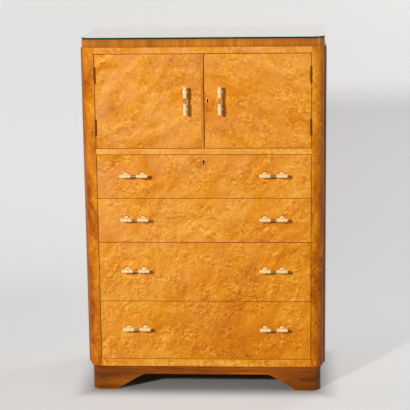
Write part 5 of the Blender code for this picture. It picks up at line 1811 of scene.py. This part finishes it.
class TALLBOY_OT_locks(bpy.types.Operator):
    """Make the keyhole escutcheons and dress the locks and the bolt inside the doors"""

    bl_idname = "tallboy.locks"
    bl_label = "Locks"

    def execute(self, context):
        sizes = context.scene.tallboy_sizes
        keyholes = (
            ("door", "door_right", "rose_brass", (sizes.door_keyhole_x, FRONT_Y, sizes.door_keyhole_z)),
            ("drawer", "drawer_1", "brass", (0, FRONT_Y, sizes.drawer_keyhole_z)),
        )
        for name, body, finish, spot in keyholes:
            plate = escutcheon(name + "_escutcheon", Matrix.Translation(spot), sizes)
            finish_piece(paint(plate, finish), body, "brass")
        for name, body, finish, spot in keyholes:
            lining = keyhole_lining(name + "_keyhole_lining", Matrix.Translation(spot), sizes)
            finish_piece(paint(lining, "dark_hollow"), body, "brass")
        for name, body, finish, spot in keyholes:
            dress_nodes("brass", name + "_lock_case", name + "_lock_bolt")
            case_screws(name + "_lock_screws", name + "_lock_case", body)
        dress_nodes("brass", "door_bolt_case", "door_bolt_rod")
        return {"FINISHED"}


# Drawers

def make_drawer_box(body, sizes):
    """The dovetailed sides and back of a drawer, with eased top edges."""
    box_item = merged_copy(body + "_box", body + "_sides_and_back")
    low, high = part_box(body + "_box")
    inner = high.x - sizes.drawer_side_thickness - FIT_GAP

    def side_top(edge):
        return lies(edge, z=high.z) and abs(edge.verts[0].co.y - edge.verts[1].co.y) > (high.y - low.y) / 2

    round_edges(box_item, side_top, sizes.drawer_edge, EDGE_STEPS)
    paint(smooth(box_item), "beech", ("side_beech", lambda face: abs(face.center.x) > inner))
    finish_piece(box_item, body, "beech", body + "_box")


def make_drawer_front(body, number, sizes):
    """A drawer's veneered front, whose edges in the gaps are painted dark as painted shade, except its top
    and underside, which are eased maple everywhere but at the gap between the second and third drawers.
    """
    low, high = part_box(body + "_front")
    front = merged_copy(body + "_front", body + "_veneered_front")
    front_arrises(front, sizes.arris, low, high)

    def eased(face):
        eased_top = number != SHADED_TOP_DRAWER and face.normal.z > FACING
        return eased_top or (number != SHADED_TOP_DRAWER - 1 and face.normal.z < -FACING)

    paint(
        smooth(front), "upper_drawers_maple" if number in UPPER_DRAWERS else "lower_drawers_maple",
        ("stained_edge", behind_front(sizes)),
        ("eased_edge", eased),
        ("beech", facing("y", 1, BACK_FACING)),
    )
    finish_piece(front, body, "maple", body + "_front")


class TALLBOY_OT_drawers(bpy.types.Operator):
    """Make the veneered drawer fronts and the dovetailed drawer boxes"""

    bl_idname = "tallboy.drawers"
    bl_label = "Drawers"

    def execute(self, context):
        sizes = context.scene.tallboy_sizes
        for number in DRAWERS:
            body = "drawer_" + str(number)
            make_drawer_front(body, number, sizes)
            make_drawer_box(body, sizes)
            dress_nodes("lying_plywood", body + "_bottom")
        return {"FINISHED"}


# Stage

def aimed(item, target, roll=0.0):
    """Point a lamp or a camera at a place."""
    direction = Vector(target) - item.location
    item.rotation_mode = "QUATERNION"
    item.rotation_quaternion = direction.to_track_quat("-Z", "Y") @ Quaternion((0, 0, 1), roll)
    return item


def soft_box(name, place, target, width, height, power, tint):
    """A rectangular soft lamp."""
    lamp = bpy.data.lights.new(name, "AREA")
    lamp.shape = "RECTANGLE"
    lamp.size = width
    lamp.size_y = height
    lamp.energy = power
    lamp.color = tint
    item = bpy.data.objects.new(name, lamp)
    bpy.context.scene.collection.objects.link(item)
    item.location = place
    item.visible_camera = False
    return aimed(item, target)


def stage_material():
    """A pale floor and wall, faintly cloudy, with a painted shadow beneath the chest, and clear when seen
    from behind.
    """
    surface, web, shader, place = new_material("pale_stage")
    web.feed(shader.inputs["Base Color"], web.mix(web.noise(place, *STAGE_CLOUD), STAGE_DARK, STAGE_LIGHT))
    set_shader(shader, Roughness=0.8, Specular_IOR_Level=0.2, Emission_Color=WHITE)
    path = web.add("ShaderNodeLightPath").outputs
    seen = web.math("MAXIMUM", path["Is Camera Ray"], path["Is Transmission Ray"])
    seen = web.math("MAXIMUM", seen, path["Is Glossy Ray"])
    spot = web.spot(place)
    low, high = FRAME_BOUNDS
    middle_y = (low[1] + high[1]) / 2
    beside = web.minus(web.math("ABSOLUTE", spot["X"]), high[0])
    before = web.minus(web.math("ABSOLUTE", web.minus(spot["Y"], middle_y)), high[1] - middle_y)
    # Painted shadow: the glow fades out over the chest's footprint, so the floor there is dark
    clear = web.range(web.math("MAXIMUM", beside, before), -STAGE_SHADE, STAGE_SHADE)
    glow = web.range(spot["Y"], FAR_NEAR_Y, FAR_Y, STAGE_GLOW, FAR_GLOW)
    web.feed(shader.inputs["Emission Strength"], web.times(web.times(seen, clear), glow))
    behind = web.add("ShaderNodeNewGeometry").outputs["Backfacing"]
    through = web.add("ShaderNodeBsdfTransparent").outputs[0]
    both_sides = web.add("ShaderNodeMixShader", {0: behind, 1: shader.outputs[0], 2: through})
    web.feed(surface.node_tree.nodes["Material Output"].inputs["Surface"], both_sides.outputs[0])
    return surface


def pale_world():
    """A dim even sky for the light on the object, and a pale one where it is seen or mirrored."""
    world = bpy.data.worlds.new("pale_room")
    world.use_nodes = True
    bpy.context.scene.world = world
    web = Web(world.node_tree)
    path = web.add("ShaderNodeLightPath").outputs
    seen = web.math("MAXIMUM", path["Is Camera Ray"], path["Is Transmission Ray"])
    dim = world.node_tree.nodes["Background"]
    dim.inputs["Color"].default_value = WHITE
    web.feed(dim.inputs["Strength"], web.line(path["Is Glossy Ray"], 0.0, 1.0, SKY_ON_OBJECT, SKY_MIRRORED))
    pale = web.add("ShaderNodeBackground", {"Color": WHITE, "Strength": SKY_SEEN})
    both_skies = web.add("ShaderNodeMixShader", {0: seen, 1: dim.outputs[0], 2: pale.outputs[0]})
    web.feed(world.node_tree.nodes["World Output"].inputs["Surface"], both_skies.outputs[0])


def make_floor():
    """The pale floor, with a wall far behind it and a cove between them."""
    object_mode()
    bpy.ops.mesh.primitive_plane_add(size=1, location=(0, STAGE_MIDDLE_Y, 0))
    floor = named(bpy.context.object, "floor_and_wall")
    floor.scale = (STAGE_WIDTH, STAGE_DEPTH, 1)
    settle(floor)
    back = STAGE_MIDDLE_Y + STAGE_DEPTH / 2
    pick(floor, "EDGE", lambda edge: lies(edge, y=back))
    bpy.ops.mesh.extrude_region_move(TRANSFORM_OT_translate={"value": (0, 0, STAGE_HEIGHT)})
    leave()
    round_edges(floor, lambda edge: lies(edge, y=back, z=0), STAGE_COVE, COVE_STEPS)
    smooth(floor)
    floor.data.materials.append(stage_material())


class TALLBOY_OT_stage(bpy.types.Operator):
    """Set the pale floor and wall, the lamps and the camera"""

    bl_idname = "tallboy.stage"
    bl_label = "Stage"

    def execute(self, context):
        make_floor()
        lamps = {name: soft_box(name, *values) for name, values in LAMPS.items()}
        lamps["back_light"].visible_glossy = False
        lamps["back_light"].visible_transmission = False
        pale_world()
        lens = bpy.data.cameras.new("camera")
        lens.lens = CAMERA_LENS
        camera = bpy.data.objects.new("camera", lens)
        context.scene.collection.objects.link(camera)
        camera.location = CAMERA_PLACE
        aimed(camera, CAMERA_TARGET, CAMERA_ROLL)
        context.scene.camera = camera
        context.scene.view_settings.view_transform = "Standard"
        return {"FINISHED"}


# Add-on

PIECE_OPERATORS = (
    TALLBOY_OT_glass_top,
    TALLBOY_OT_crown,
    TALLBOY_OT_posts,
    TALLBOY_OT_side_boards,
    TALLBOY_OT_rails,
    TALLBOY_OT_inside_boards,
    TALLBOY_OT_plinth,
    TALLBOY_OT_doors,
    TALLBOY_OT_hinges,
    TALLBOY_OT_handles,
    TALLBOY_OT_locks,
    TALLBOY_OT_drawers,
    TALLBOY_OT_stage,
)


class TALLBOY_PT_sidebar(bpy.types.Panel):
    """The tallboy's sizes, finishes and pieces"""

    bl_idname = "TALLBOY_PT_sidebar"
    bl_label = "Tallboy"
    bl_space_type = "VIEW_3D"
    bl_region_type = "UI"
    bl_category = "Tallboy"

    def draw(self, context):
        for operator in PIECE_OPERATORS:
            self.layout.operator(operator.bl_idname)
        for group in (context.scene.tallboy_sizes, context.scene.tallboy_finishes):
            box = self.layout.box()
            for name in group.__annotations__:
                box.prop(group, name)


REGISTERED = (TallboySizes, TallboyFinishes, *PIECE_OPERATORS, TALLBOY_PT_sidebar)


def register():
    """Register the add-on's classes and its settings on the scene."""
    for item in REGISTERED:
        bpy.utils.register_class(item)
    bpy.types.Scene.tallboy_sizes = PointerProperty(type=TallboySizes)
    bpy.types.Scene.tallboy_finishes = PointerProperty(type=TallboyFinishes)


def unregister():
    """Take the add-on's classes and settings away."""
    del bpy.types.Scene.tallboy_finishes
    del bpy.types.Scene.tallboy_sizes
    for item in reversed(REGISTERED):
        bpy.utils.unregister_class(item)


def write_sizes():
    """Update the view layer."""
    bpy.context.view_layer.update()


def main():
    """Build every piece in order."""
    register()
    for operator in PIECE_OPERATORS:
        getattr(bpy.ops.tallboy, operator.bl_idname.split(".")[1])()
    write_sizes()


if __name__ == "__main__":
    main()
